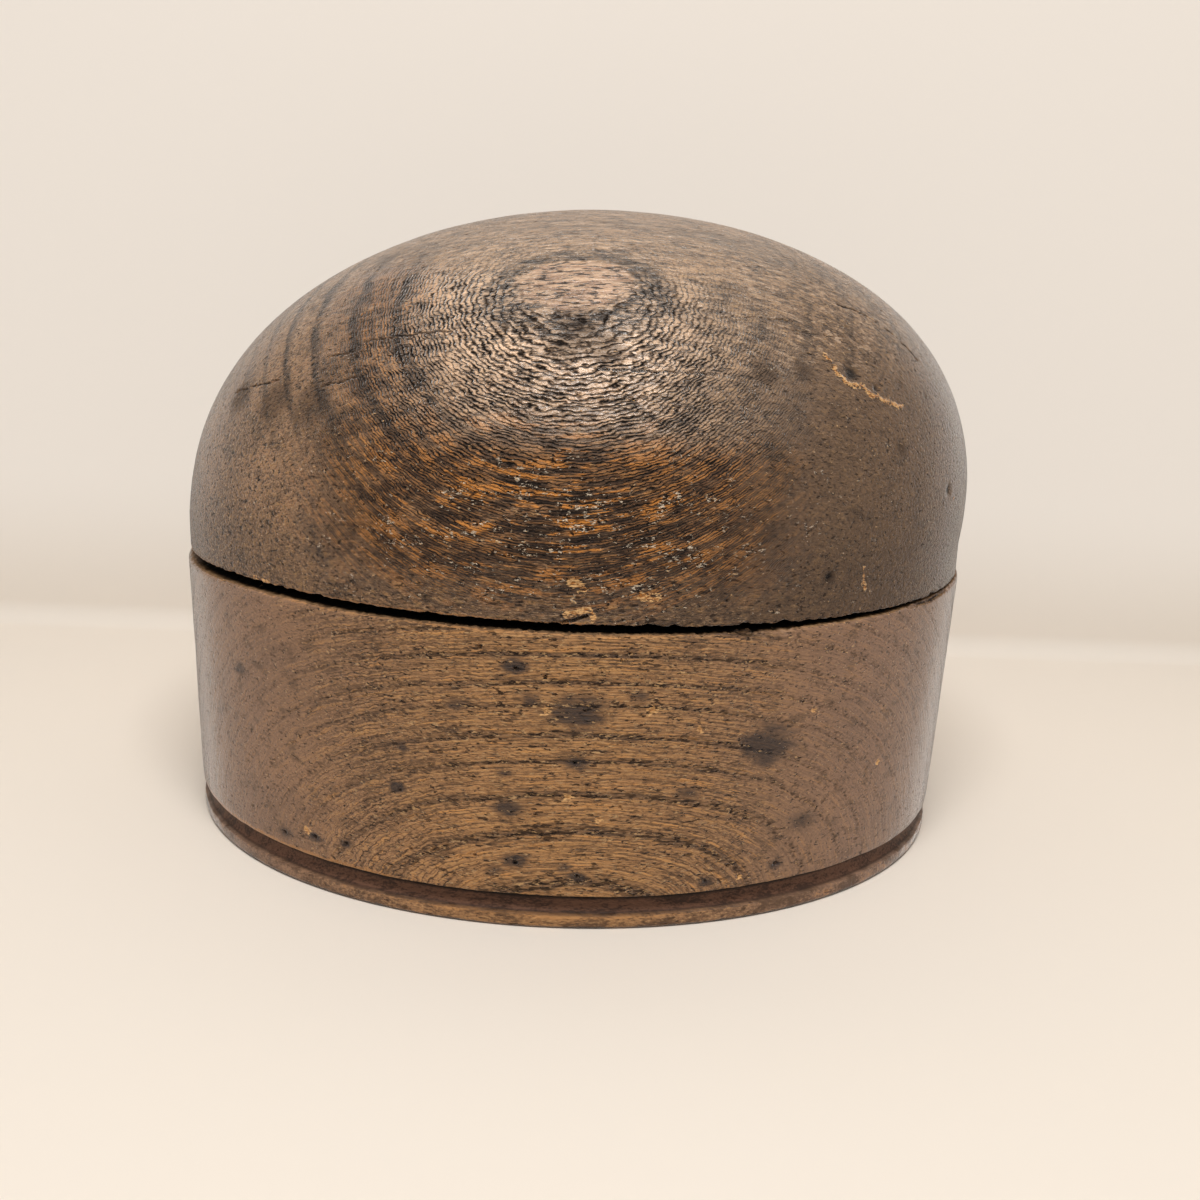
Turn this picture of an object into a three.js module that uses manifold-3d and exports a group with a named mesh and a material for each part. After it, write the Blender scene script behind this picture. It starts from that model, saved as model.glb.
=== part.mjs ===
import * as THREE from 'three';
import { mergeVertices } from 'three/addons/utils/BufferGeometryUtils.js';
import Module from 'manifold-3d';

// A hatter's block in two pieces: a domed crown that lifts off a base with a cord groove.
// Millimetres, +Z up, origin at the middle of the underside, the long way of the oval along X.

// Oval of the head, measured at the base's top edge
const HALF_LENGTH = 100;
const HALF_WIDTH = 82;

// Base
const BASE_HEIGHT = 69.5;
const BODY_DRAW_IN = 1.4;
const BASE_EDGE_ROUND = 0.8;

// Cord groove and the rim below it
const GROOVE_TOP_HEIGHT = 8;
const GROOVE_DEPTH = 2.4;
const GROOVE_EDGE_ROUND = 0.3;
const RIM_HEIGHT = 3.2;
const RIM_DRAW_IN = 1.6;
const RIM_ROUND = 1;

// Crown
const CROWN_RISE = 85.3;
const CROWN_DRAW_IN = 0.6;
const CROWN_WALL_HEIGHT = 8.4;
const CROWN_FOOT_ROUND = 0.5;
const CREST_LEAN = 7.4;
const DOME_SIDE_POWER = 1.99;
const DOME_CREST_POWER = 2.37;

// Open seam: the crown has cupped across its grain and sits closer at the +X end
const SEAM_GAP = 0.35;
const SEAM_TILT_RISE = 1.7;
const SEAM_CUP_RISE = 0.65;

// Locating pegs, glued in the base and standing in sockets in the crown
const PEG_DIAMETER = 12.7;
const PEG_SPACING = 110;
const PEG_SEAT_DEPTH = 25;
const PEG_STAND_HEIGHT = 18;
const PEG_CHAMFER = 1.5;
const PEG_GLUE_GAP = 0.3;
const SOCKET_CLEARANCE = 0.5;
const SOCKET_SPARE_DEPTH = 3;

// Hole for the spindle of a bench stand, through the base and blind in the crown
const STAND_HOLE_DIAMETER = 25.4;
const STAND_HOLE_DEPTH_IN_CROWN = 40;

// Fineness of the faceted surfaces
const OVAL_SIDES = 96;
const DOME_RINGS = 18;
const UNDERSIDE_RINGS = 4;
const GROOVE_STEPS = 5;
const ROUND_STEPS = 2;
const HOLE_SIDES = 48;
const PEG_SIDES = 32;

const CUT_OVERRUN = 5;

const wasm = await Module();
wasm.setup();

// A ring of the oval, drawn in by a distance, at a height that may vary over the oval
function ring(drawIn, height, shift = 0) {
  return {
    halfLength: HALF_LENGTH - drawIn,
    halfWidth: HALF_WIDTH - drawIn,
    height: typeof height === 'function' ? height : () => height,
    shift,
  };
}

// The same ring shrunk towards its centre
function shrunkRing(outer, scale, height, shift = 0) {
  return {
    halfLength: outer.halfLength * scale,
    halfWidth: outer.halfWidth * scale,
    height: typeof height === 'function' ? height : () => height,
    shift,
  };
}

// A closed solid whose skin runs from the centre of its underside, out and up through the
// rings, to the centre of its top
function ovalStack(bottomHeight, rings, topHeight, topShift = 0) {
  const positions = [0, 0, bottomHeight];
  const indices = [];
  const first = (index) => 1 + index * OVAL_SIDES;
  for (const { halfLength, halfWidth, height, shift } of rings) {
    for (let side = 0; side < OVAL_SIDES; side += 1) {
      const angle = (side / OVAL_SIDES) * 2 * Math.PI;
      const x = halfLength * Math.cos(angle) + shift;
      const y = halfWidth * Math.sin(angle);
      positions.push(x, y, height(x, y));
    }
  }
  const top = positions.length / 3;
  positions.push(topShift, 0, topHeight);
  for (let side = 0; side < OVAL_SIDES; side += 1) {
    const next = (side + 1) % OVAL_SIDES;
    indices.push(0, first(0) + next, first(0) + side);
    for (let index = 0; index < rings.length - 1; index += 1) {
      const low = first(index);
      const high = first(index + 1);
      indices.push(low + side, low + next, high + next);
      indices.push(low + side, high + next, high + side);
    }
    const last = first(rings.length - 1);
    indices.push(last + side, last + next, top);
  }
  const geometry = new THREE.BufferGeometry();
  geometry.setAttribute('position', new THREE.Float32BufferAttribute(positions, 3));
  geometry.setIndex(indices);
  return geometry;
}

// A round cutter standing on the XY plane between two heights
function roundCutter(diameter, x, lowHeight, highHeight) {
  const length = highHeight - lowHeight;
  const geometry = new THREE.CylinderGeometry(diameter / 2, diameter / 2, length, HOLE_SIDES);
  geometry.rotateX(Math.PI / 2);
  geometry.translate(x, 0, lowHeight + length / 2);
  return geometry;
}

function toSolid(geometry) {
  const bare = geometry.clone();
  bare.deleteAttribute('normal');
  bare.deleteAttribute('uv');
  const merged = mergeVertices(bare);
  return new wasm.Manifold(new wasm.Mesh({
    numProp: 3,
    vertProperties: new Float32Array(merged.attributes.position.array),
    triVerts: new Uint32Array(merged.index.array),
  }));
}

function cut(geometry, cutters) {
  let solid = toSolid(geometry);
  for (const cutter of cutters) {
    solid = solid.subtract(toSolid(cutter));
  }
  const mesh = solid.getMesh();
  const result = new THREE.BufferGeometry();
  result.setAttribute('position', new THREE.BufferAttribute(mesh.vertProperties, 3));
  result.setIndex(new THREE.BufferAttribute(mesh.triVerts, 1));
  result.computeVertexNormals();
  return result;
}

// Angles of a quarter turn in equal steps, for rounds and coves
function quarterSteps(steps) {
  const angles = [];
  for (let step = 0; step <= steps; step += 1) {
    angles.push((step / steps) * (Math.PI / 2));
  }
  return angles;
}

// Base: flat underside, rounded rim, cord groove, drawn-in body and flat top
function makeBase() {
  const rings = [];
  for (const angle of quarterSteps(ROUND_STEPS)) {
    rings.push(ring(
      RIM_DRAW_IN + RIM_ROUND * (1 - Math.sin(angle)),
      RIM_ROUND * (1 - Math.cos(angle)),
    ));
  }
  // The groove's floor sweeps in from the rim's edge and up to its back wall
  const grooveHeight = GROOVE_TOP_HEIGHT - RIM_HEIGHT;
  const deepest = BODY_DRAW_IN + GROOVE_DEPTH;
  const floorWidth = deepest - RIM_DRAW_IN - GROOVE_EDGE_ROUND;
  rings.push(ring(RIM_DRAW_IN, RIM_HEIGHT - GROOVE_EDGE_ROUND));
  for (const angle of quarterSteps(GROOVE_STEPS)) {
    rings.push(ring(
      RIM_DRAW_IN + GROOVE_EDGE_ROUND + floorWidth * Math.sin(angle),
      RIM_HEIGHT + (grooveHeight - GROOVE_EDGE_ROUND) * (1 - Math.cos(angle)),
    ));
  }
  rings.push(ring(BODY_DRAW_IN + GROOVE_EDGE_ROUND, GROOVE_TOP_HEIGHT));
  rings.push(ring(BODY_DRAW_IN, GROOVE_TOP_HEIGHT + GROOVE_EDGE_ROUND));
  for (const angle of quarterSteps(ROUND_STEPS)) {
    rings.push(ring(
      BASE_EDGE_ROUND * (1 - Math.cos(angle)),
      BASE_HEIGHT - BASE_EDGE_ROUND * (1 - Math.sin(angle)),
    ));
  }
  const cutters = [
    roundCutter(STAND_HOLE_DIAMETER, 0, -CUT_OVERRUN, BASE_HEIGHT + CUT_OVERRUN),
  ];
  for (const side of [-1, 1]) {
    cutters.push(roundCutter(
      PEG_DIAMETER + 2 * PEG_GLUE_GAP,
      side * PEG_SPACING / 2,
      BASE_HEIGHT - PEG_SEAT_DEPTH - PEG_GLUE_GAP,
      BASE_HEIGHT + CUT_OVERRUN,
    ));
  }
  return cut(ovalStack(0, rings, BASE_HEIGHT), cutters);
}

// Height of the crown's underside at a point of the seam
function crownFootHeight(x, y) {
  const tilt = SEAM_TILT_RISE * (HALF_LENGTH - x) / (2 * HALF_LENGTH);
  const cup = SEAM_CUP_RISE * (y / HALF_WIDTH) ** 2;
  return BASE_HEIGHT + SEAM_GAP + tilt + cup;
}

// Crown: cupped underside, short upright wall, then a dome whose crest leans towards +X
function makeCrown() {
  const wall = ring(CROWN_DRAW_IN, 0);
  const foot = ring(CROWN_DRAW_IN + CROWN_FOOT_ROUND, crownFootHeight);
  const rings = [];
  for (let index = 1; index <= UNDERSIDE_RINGS; index += 1) {
    rings.push(shrunkRing(foot, index / UNDERSIDE_RINGS, crownFootHeight));
  }
  rings.push(shrunkRing(wall, 1, (x, y) => crownFootHeight(x, y) + CROWN_FOOT_ROUND));
  const springHeight = BASE_HEIGHT + CROWN_WALL_HEIGHT;
  const domeRise = CROWN_RISE - CROWN_WALL_HEIGHT;
  for (let index = 0; index < DOME_RINGS; index += 1) {
    const angle = (index / DOME_RINGS) * (Math.PI / 2);
    const scale = Math.cos(angle) ** (2 / DOME_SIDE_POWER);
    const rise = Math.sin(angle) ** (2 / DOME_CREST_POWER);
    rings.push(shrunkRing(wall, scale, springHeight + domeRise * rise, CREST_LEAN * rise));
  }
  const shell = ovalStack(crownFootHeight(0, 0), rings, springHeight + domeRise, CREST_LEAN);
  const cutters = [
    roundCutter(
      STAND_HOLE_DIAMETER,
      0,
      BASE_HEIGHT - CUT_OVERRUN,
      crownFootHeight(0, 0) + STAND_HOLE_DEPTH_IN_CROWN,
    ),
  ];
  for (const side of [-1, 1]) {
    cutters.push(roundCutter(
      PEG_DIAMETER + 2 * SOCKET_CLEARANCE,
      side * PEG_SPACING / 2,
      BASE_HEIGHT - CUT_OVERRUN,
      BASE_HEIGHT + PEG_STAND_HEIGHT + SOCKET_SPARE_DEPTH,
    ));
  }
  return cut(shell, cutters);
}

// Peg: a straight dowel with a chamfered tip
function makePeg() {
  const radius = PEG_DIAMETER / 2;
  const length = PEG_SEAT_DEPTH + PEG_STAND_HEIGHT;
  const profile = [
    new THREE.Vector2(0, 0),
    new THREE.Vector2(radius, 0),
    new THREE.Vector2(radius, length - PEG_CHAMFER),
    new THREE.Vector2(radius - PEG_CHAMFER, length),
    new THREE.Vector2(0, length),
  ];
  const geometry = new THREE.LatheGeometry(profile, PEG_SIDES);
  geometry.rotateX(Math.PI / 2);
  return geometry;
}

function finish(colour, roughness) {
  return new THREE.MeshStandardMaterial({ color: colour, roughness, metalness: 0 });
}

function addMesh(parent, name, geometry, material, position = [0, 0, 0]) {
  const mesh = new THREE.Mesh(geometry, material);
  mesh.name = name;
  mesh.position.set(...position);
  parent.add(mesh);
}

const group = new THREE.Group();
addMesh(group, 'base', makeBase(), finish(0x6f543c, 0.55));
const pegFoot = BASE_HEIGHT - PEG_SEAT_DEPTH;
addMesh(group, 'left_peg', makePeg(), finish(0x8f6f49, 0.7), [-PEG_SPACING / 2, 0, pegFoot]);
addMesh(group, 'right_peg', makePeg(), finish(0x8f6f49, 0.7), [PEG_SPACING / 2, 0, pegFoot]);
addMesh(group, 'crown', makeCrown(), finish(0x5f4934, 0.45));

export default group;
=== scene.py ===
import math
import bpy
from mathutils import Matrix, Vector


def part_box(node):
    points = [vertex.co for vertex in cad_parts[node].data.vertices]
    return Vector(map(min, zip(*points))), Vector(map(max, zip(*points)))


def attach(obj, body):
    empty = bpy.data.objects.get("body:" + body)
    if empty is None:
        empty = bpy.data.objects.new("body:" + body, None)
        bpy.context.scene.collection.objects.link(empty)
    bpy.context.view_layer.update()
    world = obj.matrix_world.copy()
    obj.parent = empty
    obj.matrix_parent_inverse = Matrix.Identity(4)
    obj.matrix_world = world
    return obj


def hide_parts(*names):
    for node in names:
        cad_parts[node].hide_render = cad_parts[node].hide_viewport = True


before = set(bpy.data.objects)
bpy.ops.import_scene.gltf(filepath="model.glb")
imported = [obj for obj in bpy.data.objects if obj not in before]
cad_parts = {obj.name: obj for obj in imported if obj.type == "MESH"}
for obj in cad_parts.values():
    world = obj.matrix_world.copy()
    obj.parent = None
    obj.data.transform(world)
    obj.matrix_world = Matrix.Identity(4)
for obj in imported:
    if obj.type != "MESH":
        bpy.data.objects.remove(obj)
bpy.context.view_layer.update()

from types import SimpleNamespace

import bpy
import numpy as np
from mathutils import Matrix, Vector

bl_info = {
    "name": "Hat block",
    "version": (1, 0, 0),
    "blender": (4, 5, 0),
    "location": "3D View > Sidebar > Hat block",
    "description": "An old hat block: domed crown, grooved base and the pegs between them",
    "category": "Object",
}

# Everything is written in millimetres and placed in metres
MM = 0.001

BASE_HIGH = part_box("base")[1]
CROWN_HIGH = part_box("crown")[1]
PEG_LOW, PEG_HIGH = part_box("right_peg")

# Mesh fineness
SIDES = 384
ROW = 1.6
CAP_SPAN = 96


def linear(red, green, blue):
    """A colour given as it looks on screen, 0 to 255, as Blender's own linear colour."""
    def one(value):
        value /= 255
        return value / 12.92 if value <= 0.04045 else ((value + 0.055) / 1.055) ** 2.4
    return one(red), one(green), one(blue), 1.0


def length_property(name, description, default):
    return bpy.props.FloatProperty(
        name=name, description=description, default=default, unit="LENGTH", min=0.0, precision=4
    )


def colour_property(name, description, default):
    return bpy.props.FloatVectorProperty(
        name=name, description=description, default=default, subtype="COLOR", size=4, min=0, max=1
    )


class HatBlockSizes(bpy.types.PropertyGroup):
    """Sizes of the block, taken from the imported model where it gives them."""

    half_length: length_property(
        "Half length", "Half the long way of the oval", BASE_HIGH.x)
    half_width: length_property(
        "Half width", "Half the short way of the oval", BASE_HIGH.y)
    base_height: length_property(
        "Base height", "Height of the seam face of the base", BASE_HIGH.z)
    full_height: length_property(
        "Full height", "Height of the crest", CROWN_HIGH.z)
    spring_height: length_property(
        "Spring height", "Height at which the dome starts", BASE_HIGH.z + 8.4 * MM)
    crown_draw_in: length_property(
        "Crown draw-in", "How far the crown stands inside the base's oval", 0.6 * MM)
    crest_lean: length_property(
        "Crest lean", "How far the crest leans to the closed end of the seam", 7.4 * MM)
    seam_gap: length_property(
        "Seam gap", "Gap at the closed end of the seam", 0.35 * MM)
    seam_tilt: length_property(
        "Seam tilt", "Extra gap at the open end of the seam", 1.7 * MM)
    seam_cup: length_property(
        "Seam cup", "Extra gap at the front and back of the seam", 0.65 * MM)
    body_draw_in: length_property(
        "Body draw-in", "How far the base's wall is drawn in at the groove", 1.4 * MM)
    rim_height: length_property(
        "Rim height", "Height of the rim below the groove", 3.2 * MM)
    groove_top: length_property(
        "Groove top", "Height of the groove's upper lip", 8.0 * MM)
    groove_depth: length_property(
        "Groove depth", "Depth of the groove behind the wall", 2.4 * MM)
    stand_hole: length_property(
        "Stand hole", "Diameter of the hole for a bench stand's spindle", 25.4 * MM)
    stand_hole_depth: length_property(
        "Stand hole depth", "Depth of the stand hole in the crown", 40.0 * MM)
    peg_diameter: length_property(
        "Peg diameter", "Diameter of the locating pegs", PEG_HIGH.x - PEG_LOW.x)
    peg_place: length_property(
        "Peg place", "Distance of each peg from the middle", (PEG_HIGH.x + PEG_LOW.x) / 2)


class HatBlockFinish(bpy.types.PropertyGroup):
    """Colours of the woods and of the stage."""

    crown_dark: colour_property("Crown dark", "Dirt in the crown's open grain", linear(30, 22, 18))
    crown_orange: colour_property("Crown orange", "Worn wood of the crown", linear(218, 140, 60))
    base_brown: colour_property("Base brown", "Main brown of the base", linear(158, 116, 77))
    base_dark: colour_property("Base dark", "Dirt in the base's open grain", linear(54, 40, 30))
    base_orange: colour_property("Base orange", "Worn wood of the base", linear(206, 146, 86))
    bare_wood: colour_property("Bare wood", "Fresh wood in chips", linear(230, 182, 124))
    ink_stain: colour_property("Ink stain", "Blue-black iron stains", linear(44, 40, 42))
    peg_wood: colour_property("Peg wood", "Wood of the pegs", linear(192, 156, 112))
    floor: colour_property("Floor", "Pale floor and backdrop", linear(235, 226, 215))


# Modelling helpers

# A face is cut while it is this much larger than the finest square
FACE_SLACK = 1.5
MERGE_DISTANCE = 0.00001
SMOOTH_ANGLE = 40


def in_millimetres(group):
    """The panel's sizes in millimetres, under their own names."""
    names = HatBlockSizes.__annotations__
    return SimpleNamespace(**{name: getattr(group, name) / MM for name in names})


def plain_colours(group):
    """The panel's colours as plain numbers, under their own names."""
    names = HatBlockFinish.__annotations__
    return SimpleNamespace(**{name: tuple(getattr(group, name)) for name in names})


def only(obj):
    """Makes one object the selected and active one."""
    bpy.ops.object.select_all(action="DESELECT")
    obj.select_set(True)
    bpy.context.view_layer.objects.active = obj


def read_places(items, key):
    """Places of vertices or faces, in millimetres."""
    flat = np.zeros(len(items) * 3, np.float32)
    items.foreach_get(key, flat)
    return flat.reshape(-1, 3).astype(float) / MM


def points_of(obj):
    return read_places(obj.data.vertices, "co")


def face_centres(obj):
    return read_places(obj.data.polygons, "center")


def move_points(obj, points):
    obj.data.vertices.foreach_set("co", (points * MM).astype(np.float32).ravel())
    obj.data.update()


def refine(obj, flags, finest):
    """Cuts the chosen faces in four, where they are still larger than the finest size."""
    mesh = obj.data
    areas = np.zeros(len(mesh.polygons), np.float32)
    mesh.polygons.foreach_get("area", areas)
    large = areas > (finest * MM) ** 2 * FACE_SLACK
    only(obj)
    bpy.context.tool_settings.mesh_select_mode = (False, False, True)
    mesh.vertices.foreach_set("select", np.zeros(len(mesh.vertices), bool))
    mesh.edges.foreach_set("select", np.zeros(len(mesh.edges), bool))
    mesh.polygons.foreach_set("select", flags & large)
    bpy.ops.object.mode_set(mode="EDIT")
    bpy.ops.mesh.subdivide(number_cuts=1, quadcorner="INNERVERT", ngon=False)
    bpy.ops.object.mode_set(mode="OBJECT")


def refine_near(obj, paths, steps, keep=None):
    """Refines the faces near any of the paths, in steps of reach and finest size."""
    for reach, finest in steps:
        centres = face_centres(obj)
        near = np.min([away_from(centres, path) for path in paths], axis=0) < reach
        if keep is not None:
            near &= keep(centres)
        refine(obj, near, finest)


def apply_modifiers(obj):
    only(obj)
    for modifier in list(obj.modifiers):
        bpy.ops.object.modifier_apply(modifier=modifier.name)


def press(obj, name, weights, depth, direction="NORMAL", texture=None, middle=0.0):
    """Moves the weighted vertices by a depth in millimetres, with an optional pattern."""
    group = obj.vertex_groups.new(name=name)
    levels = np.round(np.clip(weights, 0, 1) * 100).astype(int)
    for level in np.unique(levels[levels > 0]):
        group.add(np.nonzero(levels == level)[0].tolist(), level / 100, "REPLACE")
    modifier = obj.modifiers.new(name, "DISPLACE")
    modifier.vertex_group = name
    modifier.direction = direction
    modifier.strength = depth * MM
    modifier.mid_level = middle
    modifier.texture_coords = "LOCAL"
    if texture is not None:
        modifier.texture = texture
    apply_modifiers(obj)
    obj.vertex_groups.remove(obj.vertex_groups[name])


def clouds(name, size, depth=1, hard=False):
    """A cloud pattern of a size in millimetres for pressing."""
    texture = bpy.data.textures.new(name, "CLOUDS")
    texture.noise_scale = size * MM
    texture.noise_depth = depth
    texture.noise_type = "HARD_NOISE" if hard else "SOFT_NOISE"
    return texture


def away_from(points, path):
    """Distance of each point from a place or from a path of places, in millimetres."""
    path = np.atleast_2d(np.array(path, float))
    if len(path) == 1:
        return np.linalg.norm(points - path[0], axis=1)
    gaps = []
    for start, end in zip(path, path[1:]):
        along = end - start
        share = np.clip((points - start) @ along / (along @ along), 0, 1)
        gaps.append(np.linalg.norm(points - start - share[:, None] * along, axis=1))
    return np.min(gaps, axis=0)


def wavering(points, amount):
    """The points shaken a little, so that a path measured from them isn't ruled."""
    x, y, z = points.T
    shake = np.stack([
        np.sin(z * 2.1 + y * 0.9) + 0.6 * np.sin(z * 5.3 + 1.0),
        np.sin(x * 1.7 + 2.0) + 0.6 * np.sin(x * 4.9 + z),
        np.sin(x * 1.3 + 0.7) + 0.6 * np.sin(x * 5.9 + y),
    ], axis=1)
    return points + shake * amount


def smooth(share):
    share = np.clip(share, 0, 1)
    return share * share * (3 - 2 * share)


def fade(distance, reach):
    """One at no distance, falling smoothly to nothing at the reach."""
    return smooth(1 - distance / reach)


def cone(distance, reach):
    """One at no distance, falling evenly to nothing at the reach."""
    return np.clip(1 - distance / reach, 0, 1)


def ramp(values, low, high):
    """Nothing at low, one at high, smooth between. High may be the lower of the two."""
    return smooth((values - low) / (high - low))


def hump(values, middle, width):
    return np.exp(-((values - middle) / width) ** 2)


def weighted(marks, weight):
    """Marks with one weight for all: their place or path, reach and weight."""
    return [(path, reach, weight) for path, reach, *_ in marks]


def strongest(points, marks, widen=1.0, shape=fade):
    """The strongest mark at each point. A mark's weight is one where it gives none."""
    found = np.zeros(len(points))
    for path, reach, *own in marks:
        weight = own[0] if own else 1.0
        found = np.maximum(found, weight * shape(away_from(points, path), reach * widen))
    return found


# How far the seam's two edges sag towards the open end, and where the sag starts
SAG_START = -58.0
BASE_SAG = 2.8
CROWN_SAG = 2.3
# Height from which the wall of the base follows its sagging edge
SAG_FOOT = 40.0
# A point past this share of the oval lies on the outer wall
WALL_SHARE = 0.93


def sag(x, sizes):
    """Nothing where the sag starts, one at the open end of the seam."""
    return np.clip((SAG_START - x) / (sizes.half_length + SAG_START), 0, 1) ** 2


def oval_share(points, sizes, inward=0.0):
    """Distance from the middle axis, one on the oval's own line."""
    return np.hypot(
        points[:, 0] / (sizes.half_length - inward), points[:, 1] / (sizes.half_width - inward)
    )


# Ovals drawn up ring by ring

class Oval:
    """One ring of the oval, in millimetres."""

    def __init__(self, half_length, half_width, height, shift=0.0):
        self.half_length = half_length
        self.half_width = half_width
        self.height = height
        self.shift = shift


def quarter_turn(steps, first=0):
    """Sine, and one less cosine, at even steps of a quarter turn."""
    for turn in range(first, steps + 1):
        angle = turn / steps * math.pi / 2
        yield math.sin(angle), 1 - math.cos(angle)


def start_oval(name, ring):
    """Adds a circle and shapes it to the first ring. It is left in edit mode, selected."""
    bpy.ops.object.select_all(action="DESELECT")
    bpy.ops.mesh.primitive_circle_add(vertices=SIDES, radius=1.0, fill_type="NOTHING")
    obj = bpy.context.active_object
    obj.name = name
    obj.data.name = name
    bpy.ops.object.mode_set(mode="EDIT")
    bpy.context.tool_settings.mesh_select_mode = (True, False, False)
    bpy.ops.mesh.select_all(action="SELECT")
    bpy.ops.transform.resize(
        value=(ring.half_length * MM, ring.half_width * MM, 1), center_override=(0, 0, 0)
    )
    bpy.ops.transform.translate(value=(ring.shift * MM, 0, ring.height * MM))
    return obj


def draw_ring(old, new):
    """Extrudes the selected ring to the next one."""
    bpy.ops.mesh.extrude_region_move(
        TRANSFORM_OT_translate={
            "value": ((new.shift - old.shift) * MM, 0, (new.height - old.height) * MM)
        }
    )
    bpy.ops.transform.resize(
        value=(new.half_length / old.half_length, new.half_width / old.half_width, 1),
        center_override=(new.shift * MM, 0, new.height * MM),
    )


def close_oval():
    """Fills the selected ring with a grid."""
    bpy.ops.mesh.fill_grid(span=CAP_SPAN, offset=SIDES // 8)


def leave_closed():
    """Turns all faces outward and leaves edit mode."""
    bpy.ops.mesh.select_all(action="SELECT")
    bpy.ops.mesh.normals_make_consistent(inside=False)
    bpy.ops.object.mode_set(mode="OBJECT")


def draw_block(name, rings):
    """Draws a closed block from its lowest ring to its highest."""
    block = start_oval(name, rings[0])
    close_oval()
    bpy.ops.mesh.select_all(action="DESELECT")
    bpy.ops.mesh.select_non_manifold(
        extend=False, use_wire=False, use_boundary=True,
        use_multi_face=False, use_non_contiguous=False, use_verts=False,
    )
    for old, new in zip(rings, rings[1:]):
        draw_ring(old, new)
    close_oval()
    bpy.ops.mesh.select_all(action="SELECT")
    bpy.ops.mesh.remove_doubles(threshold=MERGE_DISTANCE)
    leave_closed()
    return block


# Round work: the cutters of the holes, and the pegs

HOLE_SIDES = 96
# Broken edges of the holes at the seam, and how far a cutter stands out past a face
STAND_FLARE = 0.7
PEG_FLARE = 0.4
CUTTER_START = 0.01
FLARE_PAST = 0.3
OVERSHOOT = 5.0
# Room across each peg, glued in the base and free in the crown
GLUE_ROOM = 0.6
SOCKET_ROOM = 1.0
# Room under a peg's foot and over its tip
FOOT_ROOM = 0.3
TIP_ROOM = 3.0


def start_round(name, sides, radius, x, low):
    """Adds a filled circle. It is left in edit mode, selected."""
    bpy.ops.object.select_all(action="DESELECT")
    bpy.ops.mesh.primitive_circle_add(
        vertices=sides, radius=radius * MM, fill_type="NGON", location=(x * MM, 0, low * MM)
    )
    obj = bpy.context.active_object
    obj.name = name
    obj.data.name = name
    bpy.ops.object.transform_apply(location=True, rotation=True, scale=True)
    bpy.ops.object.mode_set(mode="EDIT")
    bpy.ops.mesh.select_all(action="SELECT")
    return obj


def draw_up(x, height, size, steps):
    """Extrudes the selected circle through steps of height and size."""
    for next_height, next_size in steps:
        scale = next_size / size
        bpy.ops.mesh.extrude_region_move(
            TRANSFORM_OT_translate={"value": (0, 0, (next_height - height) * MM)}
        )
        bpy.ops.transform.resize(
            value=(scale, scale, 1), center_override=(x * MM, 0, next_height * MM)
        )
        height = next_height
        size = next_size


def round_cutter(name, diameter, x, ends, flare, mouth):
    """A round cutter, flared at the mouth, so that the hole it cuts has a broken edge.

    The flare runs on past the face, because a ring right in the face can leave scraps.
    """
    low, high = ends
    cutter = start_round(name, HOLE_SIDES, diameter / 2, x, low)
    wide = (diameter / 2 + flare + FLARE_PAST) / (diameter / 2)
    if abs(mouth - low) < abs(mouth - high):
        past = mouth - FLARE_PAST
        steps = [(low + CUTTER_START, wide), (past, wide), (mouth + flare, 1), (high, 1)]
    else:
        steps = [(mouth - flare, 1), (mouth + FLARE_PAST, wide), (high, wide)]
    draw_up(x, low, 1.0, steps)
    leave_closed()
    return cutter


def bore(block, sizes, mouth, stand_ends, peg_hole, peg_ends):
    """Cuts the stand hole and both peg holes, with their mouths in the seam face."""
    place = sizes.peg_place
    cutters = [
        round_cutter("stand_cutter", sizes.stand_hole, 0, stand_ends, STAND_FLARE, mouth),
        round_cutter("left_cutter", peg_hole, -place, peg_ends, PEG_FLARE, mouth),
        round_cutter("right_cutter", peg_hole, place, peg_ends, PEG_FLARE, mouth),
    ]
    for cutter in cutters:
        modifier = block.modifiers.new("cut", "BOOLEAN")
        modifier.operation = "DIFFERENCE"
        modifier.solver = "EXACT"
        modifier.object = cutter
        apply_modifiers(block)
        bpy.data.objects.remove(cutter)


def paint(obj, name, red, green, blue):
    """Puts three masks on the mesh as a colour attribute."""
    attribute = obj.data.attributes.new(name, "FLOAT_COLOR", "POINT")
    values = np.ones((len(obj.data.vertices), 4), np.float32)
    for column, mask in enumerate((red, green, blue)):
        values[:, column] = np.clip(mask, 0, 1)
    attribute.data.foreach_set("color", values.ravel())


def finish_piece(obj, body, material, node):
    only(obj)
    bpy.ops.object.shade_smooth_by_angle(angle=math.radians(SMOOTH_ANGLE))
    obj.data.materials.clear()
    obj.data.materials.append(material)
    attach(obj, body)
    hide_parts(node)


# Base: rim, cord groove, drawn-in wall and seam face

GROOVE_EDGE = 0.3
# Height of the plain band just under the groove, and width of the one at its lip
GROOVE_BAND = 0.8
LIP_BAND = 0.9
LIP_STEP = 0.02
RIM_DRAW_IN = 1.6
RIM_ROUND = 1.0
TOP_ROUND = 0.8
# Rings on the seam face, measured inward from its edge
FACE_RINGS = (2.0, 4.0, 7.0)

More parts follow.
